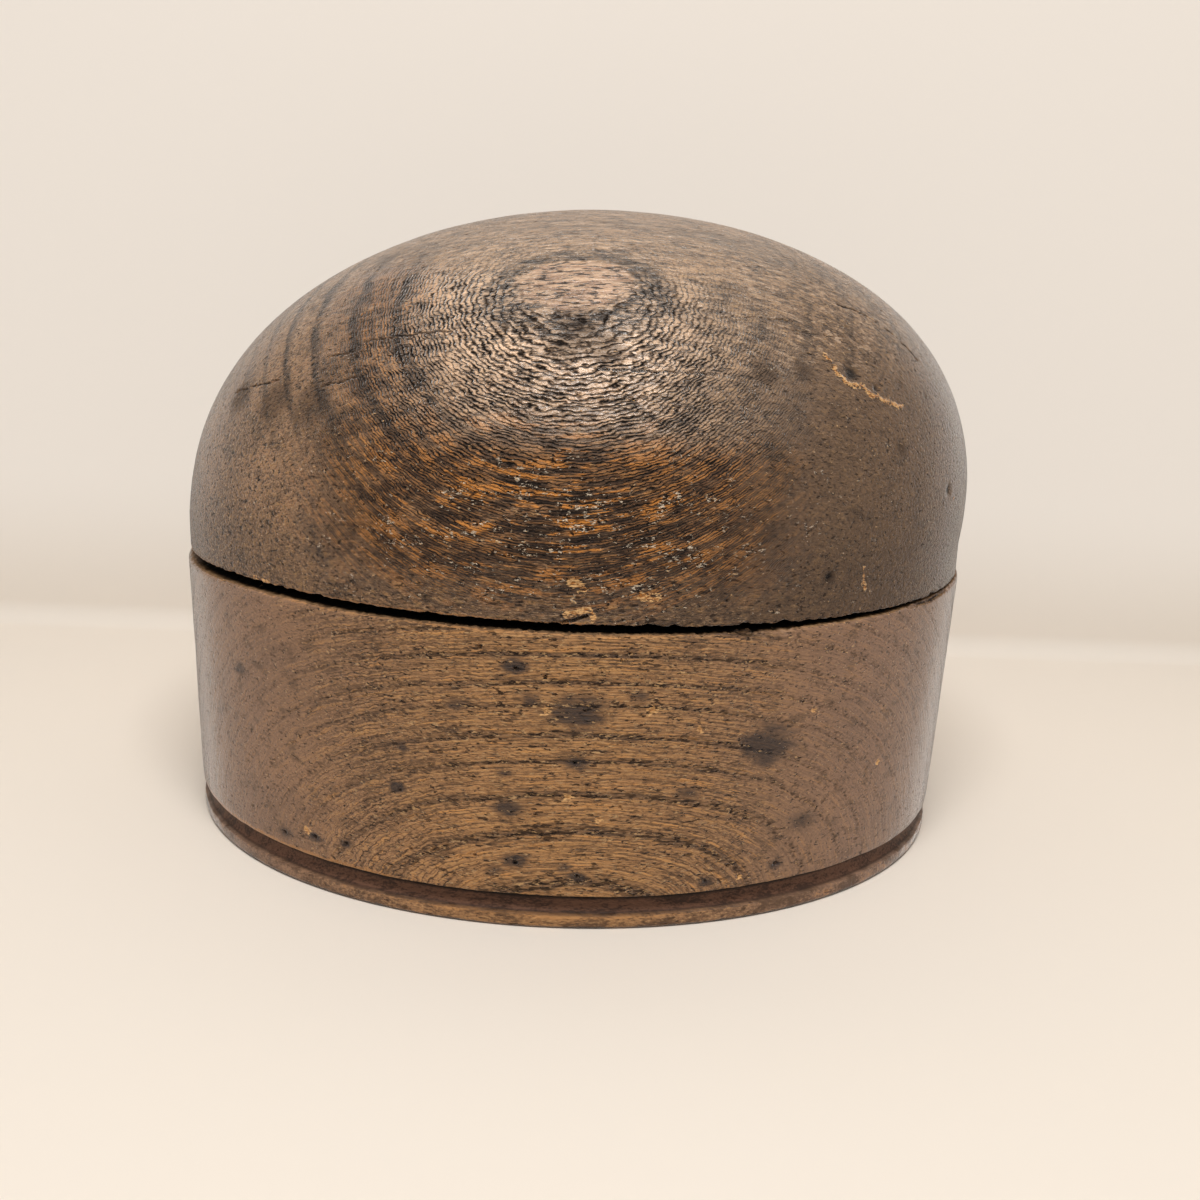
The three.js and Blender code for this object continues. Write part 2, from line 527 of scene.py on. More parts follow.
# Pin holes through the wall of the base: place and reach
BASE_HOLES = (
    ((-6.0, -81.6, 59.8), 0.75), ((2.7, -81.6, 52.4), 0.6), ((11.6, -81.4, 65.4), 0.6),
    ((9.8, -81.5, 63.8), 0.5), ((-19.9, -80.3, 65.5), 0.8), ((-12.2, -81.2, 61.2), 0.8),
    ((-13.3, -80.1, 16.3), 0.5), ((-11.3, -80.2, 15.8), 0.85), ((2.4, -80.7, 13.1), 0.8),
    ((48.0, -70.5, 12.5), 0.95), ((36.2, -75.1, 14.0), 0.5), ((31.3, -76.5, 10.8), 0.6),
    ((-20.2, -79.1, 16.8), 0.6), ((-34.7, -75.6, 16.1), 0.55), ((11.2, -80.6, 30.1), 0.5),
    ((-7.2, -80.8, 27.7), 0.5), ((-37.2, -75.2, 30.0), 0.55), ((1.0, -81.3, 40.4), 0.6),
    ((-58.0, -65.3, 13.2), 0.9), ((-50.2, -69.5, 13.8), 0.8), ((-66.0, -60.0, 11.6), 0.7),
    ((30.5, 77.4, 44.0), 0.8), ((-12.0, 80.9, 30.0), 0.7), ((-51.0, 70.2, 20.0), 0.9),
    ((62.0, 63.7, 57.0), 0.6), ((-78.0, 50.5, 51.0), 0.7), ((8.0, 81.2, 60.0), 0.6),
)

# Blue-black stains in the base: place and reach
BASE_STAINS = (
    ((0.6, -81.6, 51.8), 6.2), ((44.2, -72.9, 42.8), 6.6), ((53.1, -68.3, 22.2), 3.8),
    ((1.4, -81.3, 40.6), 3.2), ((-12.4, -81.2, 61.8), 2.8), ((-9.0, -81.3, 54.4), 2.6),
    ((14.2, -80.9, 56.0), 2.8), ((-12.9, -80.4, 28.5), 2.8), ((-14.0, -80.5, 37.4), 2.0),
    ((-36.7, -75.6, 40.4), 1.7), ((-37.9, -74.9, 30.6), 1.7), ((-11.3, -80.2, 16.0), 2.8),
    ((2.4, -80.7, 13.1), 2.0), ((-0.7, -80.8, 15.2), 1.8), ((-15.9, -79.7, 13.6), 2.2),
    ((48.0, -70.5, 12.5), 1.8), ((31.3, -76.5, 10.8), 1.9), ((-24.6, -79.1, 52.1), 2.6),
    ((-58.0, -65.3, 13.2), 1.7), ((-50.2, -69.5, 13.8), 1.6), ((-77.4, -51.3, 48.6), 2.4),
    ((-66.0, -60.0, 11.6), 2.2), ((26.0, -78.0, 33.0), 3.0), ((30.5, 77.4, 44.0), 7.0),
    ((-51.0, 70.2, 20.0), 5.0), ((-20.0, 79.4, 55.0), 4.0),
)

# Small chips that show pale wood on the base
BASE_CHIPS = (
    ((-5.6, -81.5, 52.3), 1.5), ((17.0, -80.4, 52.5), 1.3), ((27.7, -78.3, 47.9), 1.0),
    ((-60.0, -64.1, 14.3), 1.3), ((39.2, -74.0, 10.8), 1.0), ((53.9, -68.6, 49.6), 0.9),
    ((72.6, -55.3, 32.1), 0.9), ((-0.2, -81.2, 32.3), 1.4), ((6.5, -80.9, 27.0), 1.1),
    ((-2.0, 81.3, 21.0), 1.2), ((44.0, 72.8, 60.0), 1.4),
)

BASE_TOP_CHIP = ((35.5, -75.2, 69.5), (40.7, -74.6, 69.3), (45.4, -73.0, 69.5))
BASE_SPLIT = ((77.5, -51.2, 69.6), (83.7, -44.4, 69.0), (90.0, -35.3, 69.6))

# A hole of this reach or more is cut to its full depth
FULL_HOLE = 0.8
# Stains are drawn out along the level grain
STAIN_FLAT = np.array((0.62, 0.62, 1.0))


def base_rings(sizes):
    """The base's skin from the underside's edge up to the seam face."""
    top = sizes.base_height
    body = sizes.body_draw_in
    rim = sizes.rim_height
    lip = sizes.groove_top
    steps = [
        (RIM_DRAW_IN + RIM_ROUND * (1 - sine), RIM_ROUND * fall) for sine, fall in quarter_turn(4)
    ]
    steps.append((RIM_DRAW_IN, rim - GROOVE_EDGE - GROOVE_BAND))
    steps.append((RIM_DRAW_IN, rim - GROOVE_EDGE))
    steps.append((RIM_DRAW_IN + GROOVE_EDGE * 0.3, rim - GROOVE_EDGE * 0.3))
    floor_width = body + sizes.groove_depth - RIM_DRAW_IN - GROOVE_EDGE
    for sine, fall in quarter_turn(8):
        steps.append((
            RIM_DRAW_IN + GROOVE_EDGE + floor_width * sine,
            rim + (lip - rim - GROOVE_EDGE) * fall,
        ))
    steps.append((body + GROOVE_EDGE + LIP_BAND, lip - LIP_STEP))
    steps.append((body + GROOVE_EDGE, lip))
    steps.append((body + GROOVE_EDGE * 0.3, lip + GROOVE_EDGE * 0.3))
    low = lip + GROOVE_EDGE
    high = top - TOP_ROUND
    rows = round((high - low) / ROW)
    for row in range(rows + 1):
        share = row / rows
        steps.append((body * (1 - share), low + (high - low) * share))
    for sine, fall in quarter_turn(4, 1):
        steps.append((TOP_ROUND * fall, high + TOP_ROUND * sine))
    steps += [(inward, top) for inward in FACE_RINGS]
    return [
        Oval(sizes.half_length - inward, sizes.half_width - inward, height)
        for inward, height in steps
    ]


def model_base(sizes):
    base = draw_block("base_block", base_rings(sizes))
    top = sizes.base_height
    bore(
        base, sizes, top, (-OVERSHOOT, top + OVERSHOOT),
        sizes.peg_diameter + GLUE_ROOM, (PEG_LOW.z / MM - FOOT_ROOM, top + OVERSHOOT),
    )
    return base


def base_outside(points, sizes):
    """One on the outer skin of the base, nothing in its holes and on its flat faces."""
    return (oval_share(points, sizes) > WALL_SHARE).astype(float)


def weather_base(base, sizes):
    top = sizes.base_height

    def outside(centres):
        return base_outside(centres, sizes) > 0

    for reach, finest in ((4.0, 0.8), (1.8, 0.45)):
        centres = face_centres(base)
        refine(base, outside(centres) & (centres[:, 2] > top - reach), finest)
    paths = [place for place, _ in BASE_HOLES + BASE_CHIPS] + [BASE_TOP_CHIP, BASE_SPLIT]
    refine_near(base, paths, ((3.0, 0.8), (1.7, 0.45), (1.1, 0.25)), outside)

    points = points_of(base)
    skin = base_outside(points, sizes)
    above_rim = skin * np.clip((points[:, 2] - 1.0) / 2, 0, 1)
    press(base, "hand_shaping", above_rim, 0.45, texture=clouds("hand", 38), middle=0.5)
    press(base, "tool_flats", above_rim, 0.12, texture=clouds("flats", 9, 2), middle=0.5)
    near_top = skin * fade(top - points_of(base)[:, 2], 1.3)
    press(base, "worn_edge", near_top, -0.55, "Z", clouds("edge", 2.2, 2, True), 0.25)
    press(base, "worn_side", near_top, -0.5, "NORMAL", clouds("side", 1.5, 2, True), 0.2)
    height = points_of(base)[:, 2]
    lip = skin * hump(height, 8.2, 0.8)
    press(base, "worn_lip", lip, -0.35, "NORMAL", clouds("lip", 5, 2), 0.3)
    rim = skin * hump(height, 3.0, 1.0)
    press(base, "worn_rim", rim, -0.5, "NORMAL", clouds("rim", 4, 2), 0.35)
    chip = skin * fade(away_from(points_of(base), BASE_TOP_CHIP), 2.2)
    press(base, "top_chip", chip, -1.1, "Z")
    holes = [(place, reach, min(1, reach / FULL_HOLE)) for place, reach in BASE_HOLES]
    marks = holes + weighted(BASE_CHIPS, 0.22) + [(BASE_SPLIT, 0.7, 0.5)]
    press(base, "pin_holes", strongest(points_of(base), marks) * skin, -1.2)

    points = points_of(base)
    stains = [(np.array(place) * STAIN_FLAT, reach) for place, reach in BASE_STAINS]
    stain = strongest(points * STAIN_FLAT, stains, 1.45, cone)
    bare = strongest(points, BASE_CHIPS, 1.7, cone)
    hollow = np.maximum(
        strongest(points, BASE_HOLES, 1.2), fade(away_from(points, BASE_SPLIT), 0.9)
    )
    paint(base, "marks", stain, bare, hollow)
    x, y, z = points.T
    front = np.clip(-y / sizes.half_width, 0, 1)
    middle = hump(x, 0, 50) * (0.35 + 0.65 * front)
    rings = 0.12 + 0.88 * hump(x, 4, 58)
    # Sides greyer away from the middle: a grey tone of the wood, and painted reflection of the
    # pale surroundings where the wall turns away
    grey_and_reflection = 1 - hump(x, -2, np.where(x > -2, 56, 66))
    paint(base, "zones", 0.15 + 0.85 * middle, rings, grey_and_reflection)
    lip_line = hump(z, 8.4, 0.55) * ramp(x, -20, -48)
    rim_line = hump(z, 3.0, 0.55) * (0.35 + 0.65 * hump(x, -6, 26))
    rim_face = 0.45 * ramp(z, 2.6, 2.2) * (0.6 + 0.4 * ramp(x, 40, 60))
    top_line = 0.9 * fade(top - z, 1.0) * (0.5 + 0.5 * hump(x, -10, 50))
    wear = skin * np.maximum.reduce([lip_line, rim_line, rim_face, top_line])
    in_groove = skin * ramp(z, 2.9, 3.5) * ramp(z, 8.25, 7.9)
    paint(base, "wear", wear, 1 - skin, in_groove)
    # The seam's edge sags at the open end, and the wall below it follows
    follow = np.clip((z - SAG_FOOT) / (top - SAG_FOOT), 0, 1)
    points[:, 2] -= BASE_SAG * sag(x, sizes) * follow
    move_points(base, points)


# Crown: short wall, dome and cupped underside

DOME_SIDE_POWER = 1.99
DOME_CREST_POWER = 2.37
DOME_STEPS = 4000
HALVINGS = 40
FOOT_ROUND = 0.5
CAP_SCALE = 0.5
# The refined band at the crown's foot lies past this share of its own oval
FOOT_SHARE = 0.97
# Height of the steep part of the dome, and how near the dome its outer skin lies
STEEP_TOP = 125.0
SKIN_DEPTH = 6.0
# How far a crack wanders off its path, and how deep the deepest mark goes
CRACK_WAVER = 0.14
DEEPEST = 1.6

# Lip of the long chip on the right of the dome, and the hollows above it
CHIP_LIP = (
    (52.3, -53.7, 126.3), (53.4, -54.0, 125.3), (55.1, -55.1, 122.8), (57.4, -55.5, 120.5),
    (59.5, -54.3, 120.2), (61.2, -53.6, 119.6), (63.7, -53.0, 118.0), (66.2, -51.8, 116.8),
    (68.9, -50.2, 115.9), (71.3, -48.7, 114.9),
)
CHIP_HOLLOWS = (
    ((58.6, -53.0, 122.6), 3.3), ((64.7, -51.2, 119.3), 1.5), ((71.7, -45.1, 119.1), 1.0),
)

# Fine drying cracks along the grain: path, reach and depth
CROWN_CRACKS = (
    (((48.1, -55.5, 126.8), (52.0, -54.4, 125.8)), 0.45, 0.35),
    (((57.1, -37.5, 136.1), (63.0, -34.7, 134.4), (68.2, -33.2, 131.7), (73.4, -32.5, 128.0),
      (78.0, -32.0, 124.0)), 0.5, 0.45),
    (((28.6, -56.2, 133.7), (35.3, -53.9, 133.8), (45.7, -50.1, 133.0)), 0.4, 0.35),
    (((44.8, -52.6, 131.3), (51.5, -50.1, 130.2), (57.8, -46.3, 129.7)), 0.4, 0.3),
    (((3.1, -68.9, 123.0), (14.6, -68.5, 122.8), (26.6, -66.7, 122.7)), 0.5, 0.5),
    (((-47.8, -51.9, 125.1), (-40.5, -54.9, 126.6), (-33.2, -56.9, 128.1),
      (-27.7, -58.6, 128.6)), 0.45, 0.5),
    (((-56.8, -54.5, 115.4), (-52.5, -56.5, 116.6), (-48.7, -57.9, 118.0)), 0.5, 0.45),
    (((-80.6, -32.7, 110.4), (-72.0, -41.5, 113.6), (-67.9, -44.8, 115.1)), 0.55, 0.45),
    (((-55.7, -50.1, 121.2), (-49.8, -52.9, 122.8)), 0.45, 0.35),
    (((-20.0, 30.0, 150.2), (2.0, 31.5, 149.8), (24.0, 30.5, 149.6)), 0.5, 0.45),
    (((-60.0, 45.5, 119.8), (-44.0, 50.0, 126.5)), 0.5, 0.4),
)

# The split that runs up from the seam at the front
SEAM_SPLIT = ((-8.4, -81.2, 70.9), (-4.0, -81.3, 71.4), (-1.2, -81.4, 72.0), (2.3, -81.4, 73.3))

# Notches along the crown's foot: place, reach and height
FOOT_NOTCHES = (
    ((-78.9, -49.5, 70.9), 1.6, 0.8), ((-65.2, -61.4, 71.3), 1.2, 0.6),
    ((-56.0, -67.3, 71.3), 1.5, 0.7), ((-31.0, -77.0, 71.3), 1.3, 0.5),
    ((15.6, -80.4, 71.1), 2.2, 0.8), ((21.0, -79.4, 71.1), 1.5, 0.5),
    ((36.5, -75.7, 70.7), 1.9, 0.9), ((45.1, -72.5, 70.6), 2.0, 0.7),
    ((63.0, -63.4, 70.5), 1.6, 0.5), ((85.0, -43.0, 70.2), 2.2, 0.8),
    ((60.0, 65.0, 70.5), 2.4, 0.9), ((-20.0, 79.5, 71.3), 2.0, 0.8),
)

# Places where the crown is chipped or worn to pale wood: path and reach
CROWN_BARE = (
    (((-72.5, -55.6, 72.0), (-70.5, -57.4, 71.9), (-68.6, -58.8, 72.0)), 0.9),
    (((-1.0, -81.4, 80.6), (1.2, -81.4, 79.4)), 1.7),
    (((13.4, -80.6, 78.0), (16.8, -80.1, 77.6)), 1.5),
    (((63.2, -63.0, 81.4), (63.8, -62.4, 76.7)), 0.5),
    (((63.6, -62.5, 77.6), (64.0, -62.2, 76.6)), 1.0),
    (((89.1, -36.7, 92.2),), 0.9),
    (((-2.0, -81.3, 73.6), (2.6, -81.4, 74.8), (3.8, -81.3, 72.8)), 1.1),
)

# Dents in the crown: place and reach
CROWN_DENTS = (
    ((86.7, -39.8, 94.9), 2.2), ((54.7, -68.1, 80.2), 1.6), ((-69.6, 46.0, 111.0), 2.0),
    ((22.0, 78.5, 88.0), 1.7),
)

# Wide dark patches: place and reach
CROWN_PATCHES = (
    ((-78.5, -36.6, 109.8), 8.0), ((-68.5, -47.7, 111.0), 10.0), ((-59.2, -55.6, 111.3), 9.0),
    ((-1.3, -61.7, 131.2), 9.0), ((-4.3, -65.1, 127.2), 8.0), ((4.0, -66.1, 126.6), 8.0),
    ((38.2, -63.0, 123.1), 6.0), ((47.3, -59.2, 123.0), 5.0), ((54.7, -68.1, 80.2), 3.4),
    ((71.3, -53.4, 106.1), 3.4), ((20.0, 60.0, 131.0), 10.0), ((-50.0, 58.0, 108.0), 9.0),
)


def crown_oval(sizes):
    """Half the long way and half the short way of the crown."""
    return sizes.half_length - sizes.crown_draw_in, sizes.half_width - sizes.crown_draw_in


def dome_profile(share):
    """Scale of the oval and share of the rise, for a share of the quarter turn."""
    angle = share * math.pi / 2
    return math.cos(angle) ** (2 / DOME_SIDE_POWER), math.sin(angle) ** (2 / DOME_CREST_POWER)


def dome_height(points, sizes):
    """Height of the dome over points of its cap, by halving."""
    long_way, short_way = crown_oval(sizes)
    low = np.zeros(len(points))
    high = np.ones(len(points))
    for _ in range(HALVINGS):
        middle = (low + high) / 2
        scale = np.maximum(1 - middle ** DOME_CREST_POWER, 1e-9) ** (1 / DOME_SIDE_POWER)
        reach = np.hypot(
            (points[:, 0] - sizes.crest_lean * middle) / (long_way * scale),
            points[:, 1] / (short_way * scale),
        )
        low = np.where(reach < 1, middle, low)
        high = np.where(reach < 1, high, middle)
    spring = sizes.spring_height
    return spring + (sizes.full_height - spring) * (low + high) / 2


def foot_height(points, sizes):
    """Height of the crown's underside, which is tilted and cupped over the seam."""
    long_way = sizes.half_length
    tilt = sizes.seam_tilt * (long_way - points[:, 0]) / (2 * long_way)
    cup = sizes.seam_cup * (points[:, 1] / sizes.half_width) ** 2
    level = sizes.base_height + sizes.seam_gap
    return level + tilt + cup - CROWN_SAG * sag(points[:, 0], sizes)


def crown_rings(sizes):
    """The crown's skin from its underside's edge up to the cap of the dome."""
    long_way, short_way = crown_oval(sizes)
    spring = sizes.spring_height
    rise = sizes.full_height - spring
    foot = sizes.base_height + sizes.seam_gap
    steps = [(inward, foot) for inward in reversed(FACE_RINGS)]
    for sine, fall in quarter_turn(3):
        steps.append((FOOT_ROUND * (1 - sine), foot + FOOT_ROUND * fall))
    low = foot + FOOT_ROUND
    rows = round((spring - low) / ROW)
    steps += [(0.0, low + (spring - low) * row / rows) for row in range(1, rows + 1)]
    rings = [Oval(long_way - inward, short_way - inward, height) for inward, height in steps]
    # Rings of the dome at even steps along its front profile
    fine = [dome_profile(step / DOME_STEPS) for step in range(DOME_STEPS + 1)]
    travelled = 0.0
    due = ROW
    for (scale_a, rise_a), (scale_b, rise_b) in zip(fine, fine[1:]):
        travelled += math.hypot((scale_a - scale_b) * short_way, (rise_b - rise_a) * rise)
        if travelled >= due:
            rings.append(Oval(
                long_way * scale_b, short_way * scale_b, spring + rise * rise_b,
                sizes.crest_lean * rise_b,
            ))
            due += ROW
            if scale_b < CAP_SCALE:
                break
    return rings


def model_crown(sizes):
    rings = crown_rings(sizes)
    crown = draw_block("crown_block", rings)
    points = points_of(crown)
    cap = points[:, 2] > rings[-1].height - FOOT_ROUND
    points[cap, 2] = dome_height(points[cap], sizes)
    move_points(crown, points)
    foot = rings[0].height
    bore(
        crown, sizes, foot,
        (foot - OVERSHOOT, foot + sizes.seam_tilt / 2 + sizes.stand_hole_depth),
        sizes.peg_diameter + SOCKET_ROOM, (foot - OVERSHOOT, PEG_HIGH.z / MM + TIP_ROOM),
    )
    # The underside is tilted and cupped, and the wall above it follows
    points = points_of(crown)
    spring = sizes.spring_height
    below = points[:, 2] < spring
    share = (spring - points[below, 2]) / (spring - foot)
    points[below, 2] = spring - share * (spring - foot_height(points[below], sizes))
    move_points(crown, points)
    return crown


def outer_skin(points, sizes):
    """One on the dome and wall of the crown."""
    near_wall = oval_share(points, sizes) > WALL_SHARE
    over = points[:, 2] > sizes.spring_height
    on_dome = np.zeros(len(points), bool)
    away = np.abs(dome_height(points[over], sizes) - points[over, 2])
    on_dome[over] = away < SKIN_DEPTH
    steep = over & (points[:, 2] < STEEP_TOP) & near_wall
    return (on_dome | steep | (~over & near_wall)).astype(float)


def weather_crown(crown, sizes):
    for reach, finest in ((4.0, 0.8), (2.0, 0.42)):
        centres = face_centres(crown)
        low = centres[:, 2] < foot_height(centres, sizes) + reach
        near_wall = oval_share(centres, sizes, sizes.crown_draw_in) > FOOT_SHARE
        refine(crown, low & near_wall, finest)
    paths = [CHIP_LIP, SEAM_SPLIT]
    paths += [mark[0] for mark in CROWN_CRACKS + CROWN_BARE + CROWN_DENTS]
    refine_near(crown, paths, ((3.4, 0.8), (1.7, 0.45), (0.9, 0.25), (0.6, 0.16)))

    skin = outer_skin(points_of(crown), sizes)
    press(crown, "hand_shaping", skin, 0.5, texture=clouds("dome_hand", 42), middle=0.5)
    press(crown, "tool_flats", skin, 0.14, texture=clouds("dome_flats", 8, 2), middle=0.5)
    points = points_of(crown)
    foot = skin * fade(points[:, 2] - foot_height(points, sizes), 1.4)
    press(crown, "ragged_foot", foot, 0.6, "Z", clouds("foot", 2.0, 2, True), 0.2)
    press(crown, "ragged_side", foot, -0.5, "NORMAL", clouds("foot_side", 1.4, 2, True), 0.2)
    press(crown, "foot_notches", strongest(points_of(crown), FOOT_NOTCHES), 1.0, "Z")
    points = points_of(crown)
    cracks = strongest(wavering(points, CRACK_WAVER), CROWN_CRACKS, 0.8)
    marks = weighted(CROWN_DENTS, 0.5) + weighted(CHIP_HOLLOWS, 0.55)
    depth = np.maximum(cracks, strongest(points, marks + [(SEAM_SPLIT, 0.6, DEEPEST)]))
    press(crown, "cracks", np.clip(depth / DEEPEST, 0, 1) * skin, -DEEPEST)
    press(crown, "chip_lip", fade(away_from(points_of(crown), CHIP_LIP), 0.8) * skin, 0.22)

    points = points_of(crown)
    patch = strongest(points, CROWN_PATCHES, 1.2)
    torn = fade(away_from(wavering(points, 0.2), CHIP_LIP), 1.35)
    bare = np.maximum(torn, strongest(points, CROWN_BARE, 1.2))
    cracks = strongest(wavering(points, CRACK_WAVER), weighted(CROWN_CRACKS, 1.0), 0.8)
    split = fade(away_from(points, SEAM_SPLIT), 0.8)
    dents = strongest(points, weighted(CHIP_HOLLOWS + CROWN_DENTS, 0.8), 1.1)
    paint(crown, "marks", patch, bare, np.maximum.reduce([cracks, split, dents]))
    x, y, z = points.T
    front = ramp(y, -12, -42)
    relief = front * ramp(x, -68, -38) * ramp(x, 56, 22) * ramp(z, 71, 88)
    relief *= 1 - 0.75 * ramp(z, 137, 143)
    orange = front * hump(x, -6, 38) * hump(z, 94, 15) * ramp(x, 46, 14)
    specks = front * hump(x, -2, 46) * hump(z, 90, 17)
    paint(crown, "zones", relief, orange, specks)
    rings = ramp(x, -22, -36) * ramp(z, 100, 114) * ramp(z, 146, 134)
    rings *= 1 - 0.6 * ramp(x, -66, -78)
    right_rings = 0.35 * ramp(x, 30, 42) * ramp(z, 118, 130)
    rings = np.maximum.reduce([rings, right_rings, 0.55 * ramp(y, 0, 30)])
    left_dashes = ramp(x, -58, -70) * ramp(z, 112, 100)
    dashes = np.maximum.reduce([left_dashes, 0.35 * ramp(x, 68, 82), 0.5 * ramp(y, 10, 40)])
    paint(crown, "grain", rings, dashes, 1 - skin)
    edge = skin * fade(z - foot_height(points, sizes), 1.1) * (0.55 + 0.4 * ramp(x, 20, -20))
    # Polished front where the lamp's highlight falls: more gloss, and ridges painted paler as a
    # highlight
    polish_and_highlight = front * ramp(z, 104, 116) * ramp(x, -50, -20) * ramp(x, 60, 30)
    right = front * ramp(x, 18, 44) * ramp(z, 134, 118)
    paint(crown, "wear", edge, right, polish_and_highlight)


# Pegs: whittled dowels

PEG_SIDES = 64
PEG_FOOT_SCALE = 0.93
PEG_CHAMFER = 0.6
PEG_ROWS = 28
PEG_TAPER = 0.012
# The rounded tip: its height, its rows, its share of a quarter turn and how far it draws in
TIP_HEIGHT = 2.2
TIP_ROWS = 6
TIP_TURN = 0.86
TIP_DRAW_IN = 0.2
TIP_INSETS = (0.8, 1.6, 2.4)
TIP_CROWNING = 0.12
# A drying split across the tip: its place, its reach and how far down it runs
PEG_SPLIT_PLACE = -0.3
PEG_SPLIT_REACH = 0.5
PEG_SPLIT_LENGTH = 9.0


def model_peg(name, x, sizes):
    """A straight peg with a rounded tip, drawn up from a circle and shaved a little flat."""
    low = PEG_LOW.z / MM
    high = PEG_HIGH.z / MM
    start = low + PEG_CHAMFER
    end = high - TIP_HEIGHT
    peg = start_round(name, PEG_SIDES, sizes.peg_diameter / 2 * PEG_FOOT_SCALE, x, low)
    steps = [(start, 1.0)]
    for row in range(1, PEG_ROWS + 1):
        share = row / PEG_ROWS
        steps.append((start + (end - start) * share, 1.0 - PEG_TAPER * share))
    last = TIP_TURN * math.pi / 2
    for row in range(1, TIP_ROWS + 1):
        angle = last * row / TIP_ROWS
        steps.append((
            end + TIP_HEIGHT * math.sin(angle) / math.sin(last),
            1.0 - PEG_TAPER - TIP_DRAW_IN * (1 - math.cos(angle)),
        ))
    draw_up(x, low, PEG_FOOT_SCALE, steps)
    for inward in TIP_INSETS:
        bpy.ops.mesh.inset(thickness=inward * MM / 1.5, depth=TIP_CROWNING * MM)
    leave_closed()
    everywhere = np.ones(len(peg.data.vertices))
    press(peg, "shaved", everywhere, -0.22, texture=clouds(name + "_shaved", 3.2))
    points = points_of(peg)
    across = fade(np.abs(points[:, 1] - PEG_SPLIT_PLACE), PEG_SPLIT_REACH)
    press(peg, "split", across * (points[:, 2] > high - PEG_SPLIT_LENGTH), -0.35)
    return peg


# Materials

class Value:
    """A socket that takes part in sums. Numbers are added as Math nodes."""

    def __init__(self, shader, socket):
        self.shader = shader
        self.socket = socket

    def math(self, operation, *others):
        return self.shader.node("ShaderNodeMath", {"operation": operation}, self, *others)

    def __add__(self, other):
        return self.math("ADD", other)

    __radd__ = __add__

    def __mul__(self, other):
        return self.math("MULTIPLY", other)

    __rmul__ = __mul__

    def __sub__(self, other):
        return self.math("SUBTRACT", other)

    def __rsub__(self, other):
        return self.shader.node("ShaderNodeMath", {"operation": "SUBTRACT"}, other, self)

    def __truediv__(self, other):
        return self.math("DIVIDE", other)

    def size(self):
        return self.math("ABSOLUTE")

    def sine(self):
        return self.math("SINE")

    def root(self):
        return self.math("SQRT")

    def fraction(self):
        return self.math("FRACT")

    def above(self, other):
        return self.math("MAXIMUM", other)

    def below(self, other):
        return self.math("MINIMUM", other)

    def step(self, low, high):
        """Nothing at low, one at high, smooth between. High may be the lower of the two."""
        return self.shader.node(
            "ShaderNodeMapRange", {"interpolation_type": "SMOOTHSTEP", "clamp": True},
            self, low, high, 0.0, 1.0,
        )


class Nodes:
    """Builds the nodes of a material or of the world."""

    def __init__(self, owner, output):
        owner.use_nodes = True
        self.tree = owner.node_tree
        self.tree.nodes.clear()
        self.output = self.tree.nodes.new(output)

    def node(self, kind, settings, *values, out=0, **named):
        """Adds a node: its type, its settings, and the values or links of its sockets."""
        node = self.tree.nodes.new(kind)
        for key, value in settings.items():
            if key == "stops":
                elements = node.color_ramp.elements
                while len(elements) > 1:
                    elements.remove(elements[-1])
                elements[0].position, elements[0].color = value[0]
                for place, colour in value[1:]:
                    elements.new(place).color = colour
            else:
                setattr(node, key, value)
        for index, value in enumerate(values):
            self.fill(node.inputs[index], value)
        for key, value in named.items():
            self.fill(node.inputs[key.replace("_", " ")], value)
        return Value(self, node.outputs[out])

    def fill(self, socket, value):
        if isinstance(value, Value):
            self.tree.links.new(value.socket, socket)
        elif value is not None:
            socket.default_value = value

    def outputs(self, value):
        """All the outputs of the node that a value comes from."""
        return [Value(self, socket) for socket in value.socket.node.outputs]

    def apart(self, vector):
        return self.outputs(self.node("ShaderNodeSeparateXYZ", {}, vector))

    def together(self, x, y, z):
        return self.node("ShaderNodeCombineXYZ", {}, x, y, z)

    def noise(self, places, detail=1.0, roughness=0.5):
        return self.node(
            "ShaderNodeTexNoise", {"noise_dimensions": "3D"}, places,
            Scale=1.0, Detail=detail, Roughness=roughness,
        )

    def mix(self, share, first, second):
        """Mixes two colours."""
        node = self.tree.nodes.new("ShaderNodeMix")
        node.data_type = "RGBA"
        self.fill(node.inputs[0], share)
        self.fill(node.inputs[6], first)
        self.fill(node.inputs[7], second)
        return Value(self, node.outputs[2])

    def layers(self, colour, *layers):
        """Lays colours over a colour, one after another, each with its share."""
        for share, over in layers:
            colour = self.mix(share, colour, over)
        return colour

    def cover(self, shader):
        """Makes this the surface."""
        self.tree.links.new(shader.socket, self.output.inputs["Surface"])

    def seen(self):
        """One for rays from the eye, straight, mirrored or through something clear."""
        rays = self.node("ShaderNodeLightPath", {}).socket.node.outputs
        names = ("Is Camera Ray", "Is Glossy Ray", "Is Transmission Ray")
        straight, mirrored, through = (Value(self, rays[name]) for name in names)
        return straight.above(mirrored).above(through)


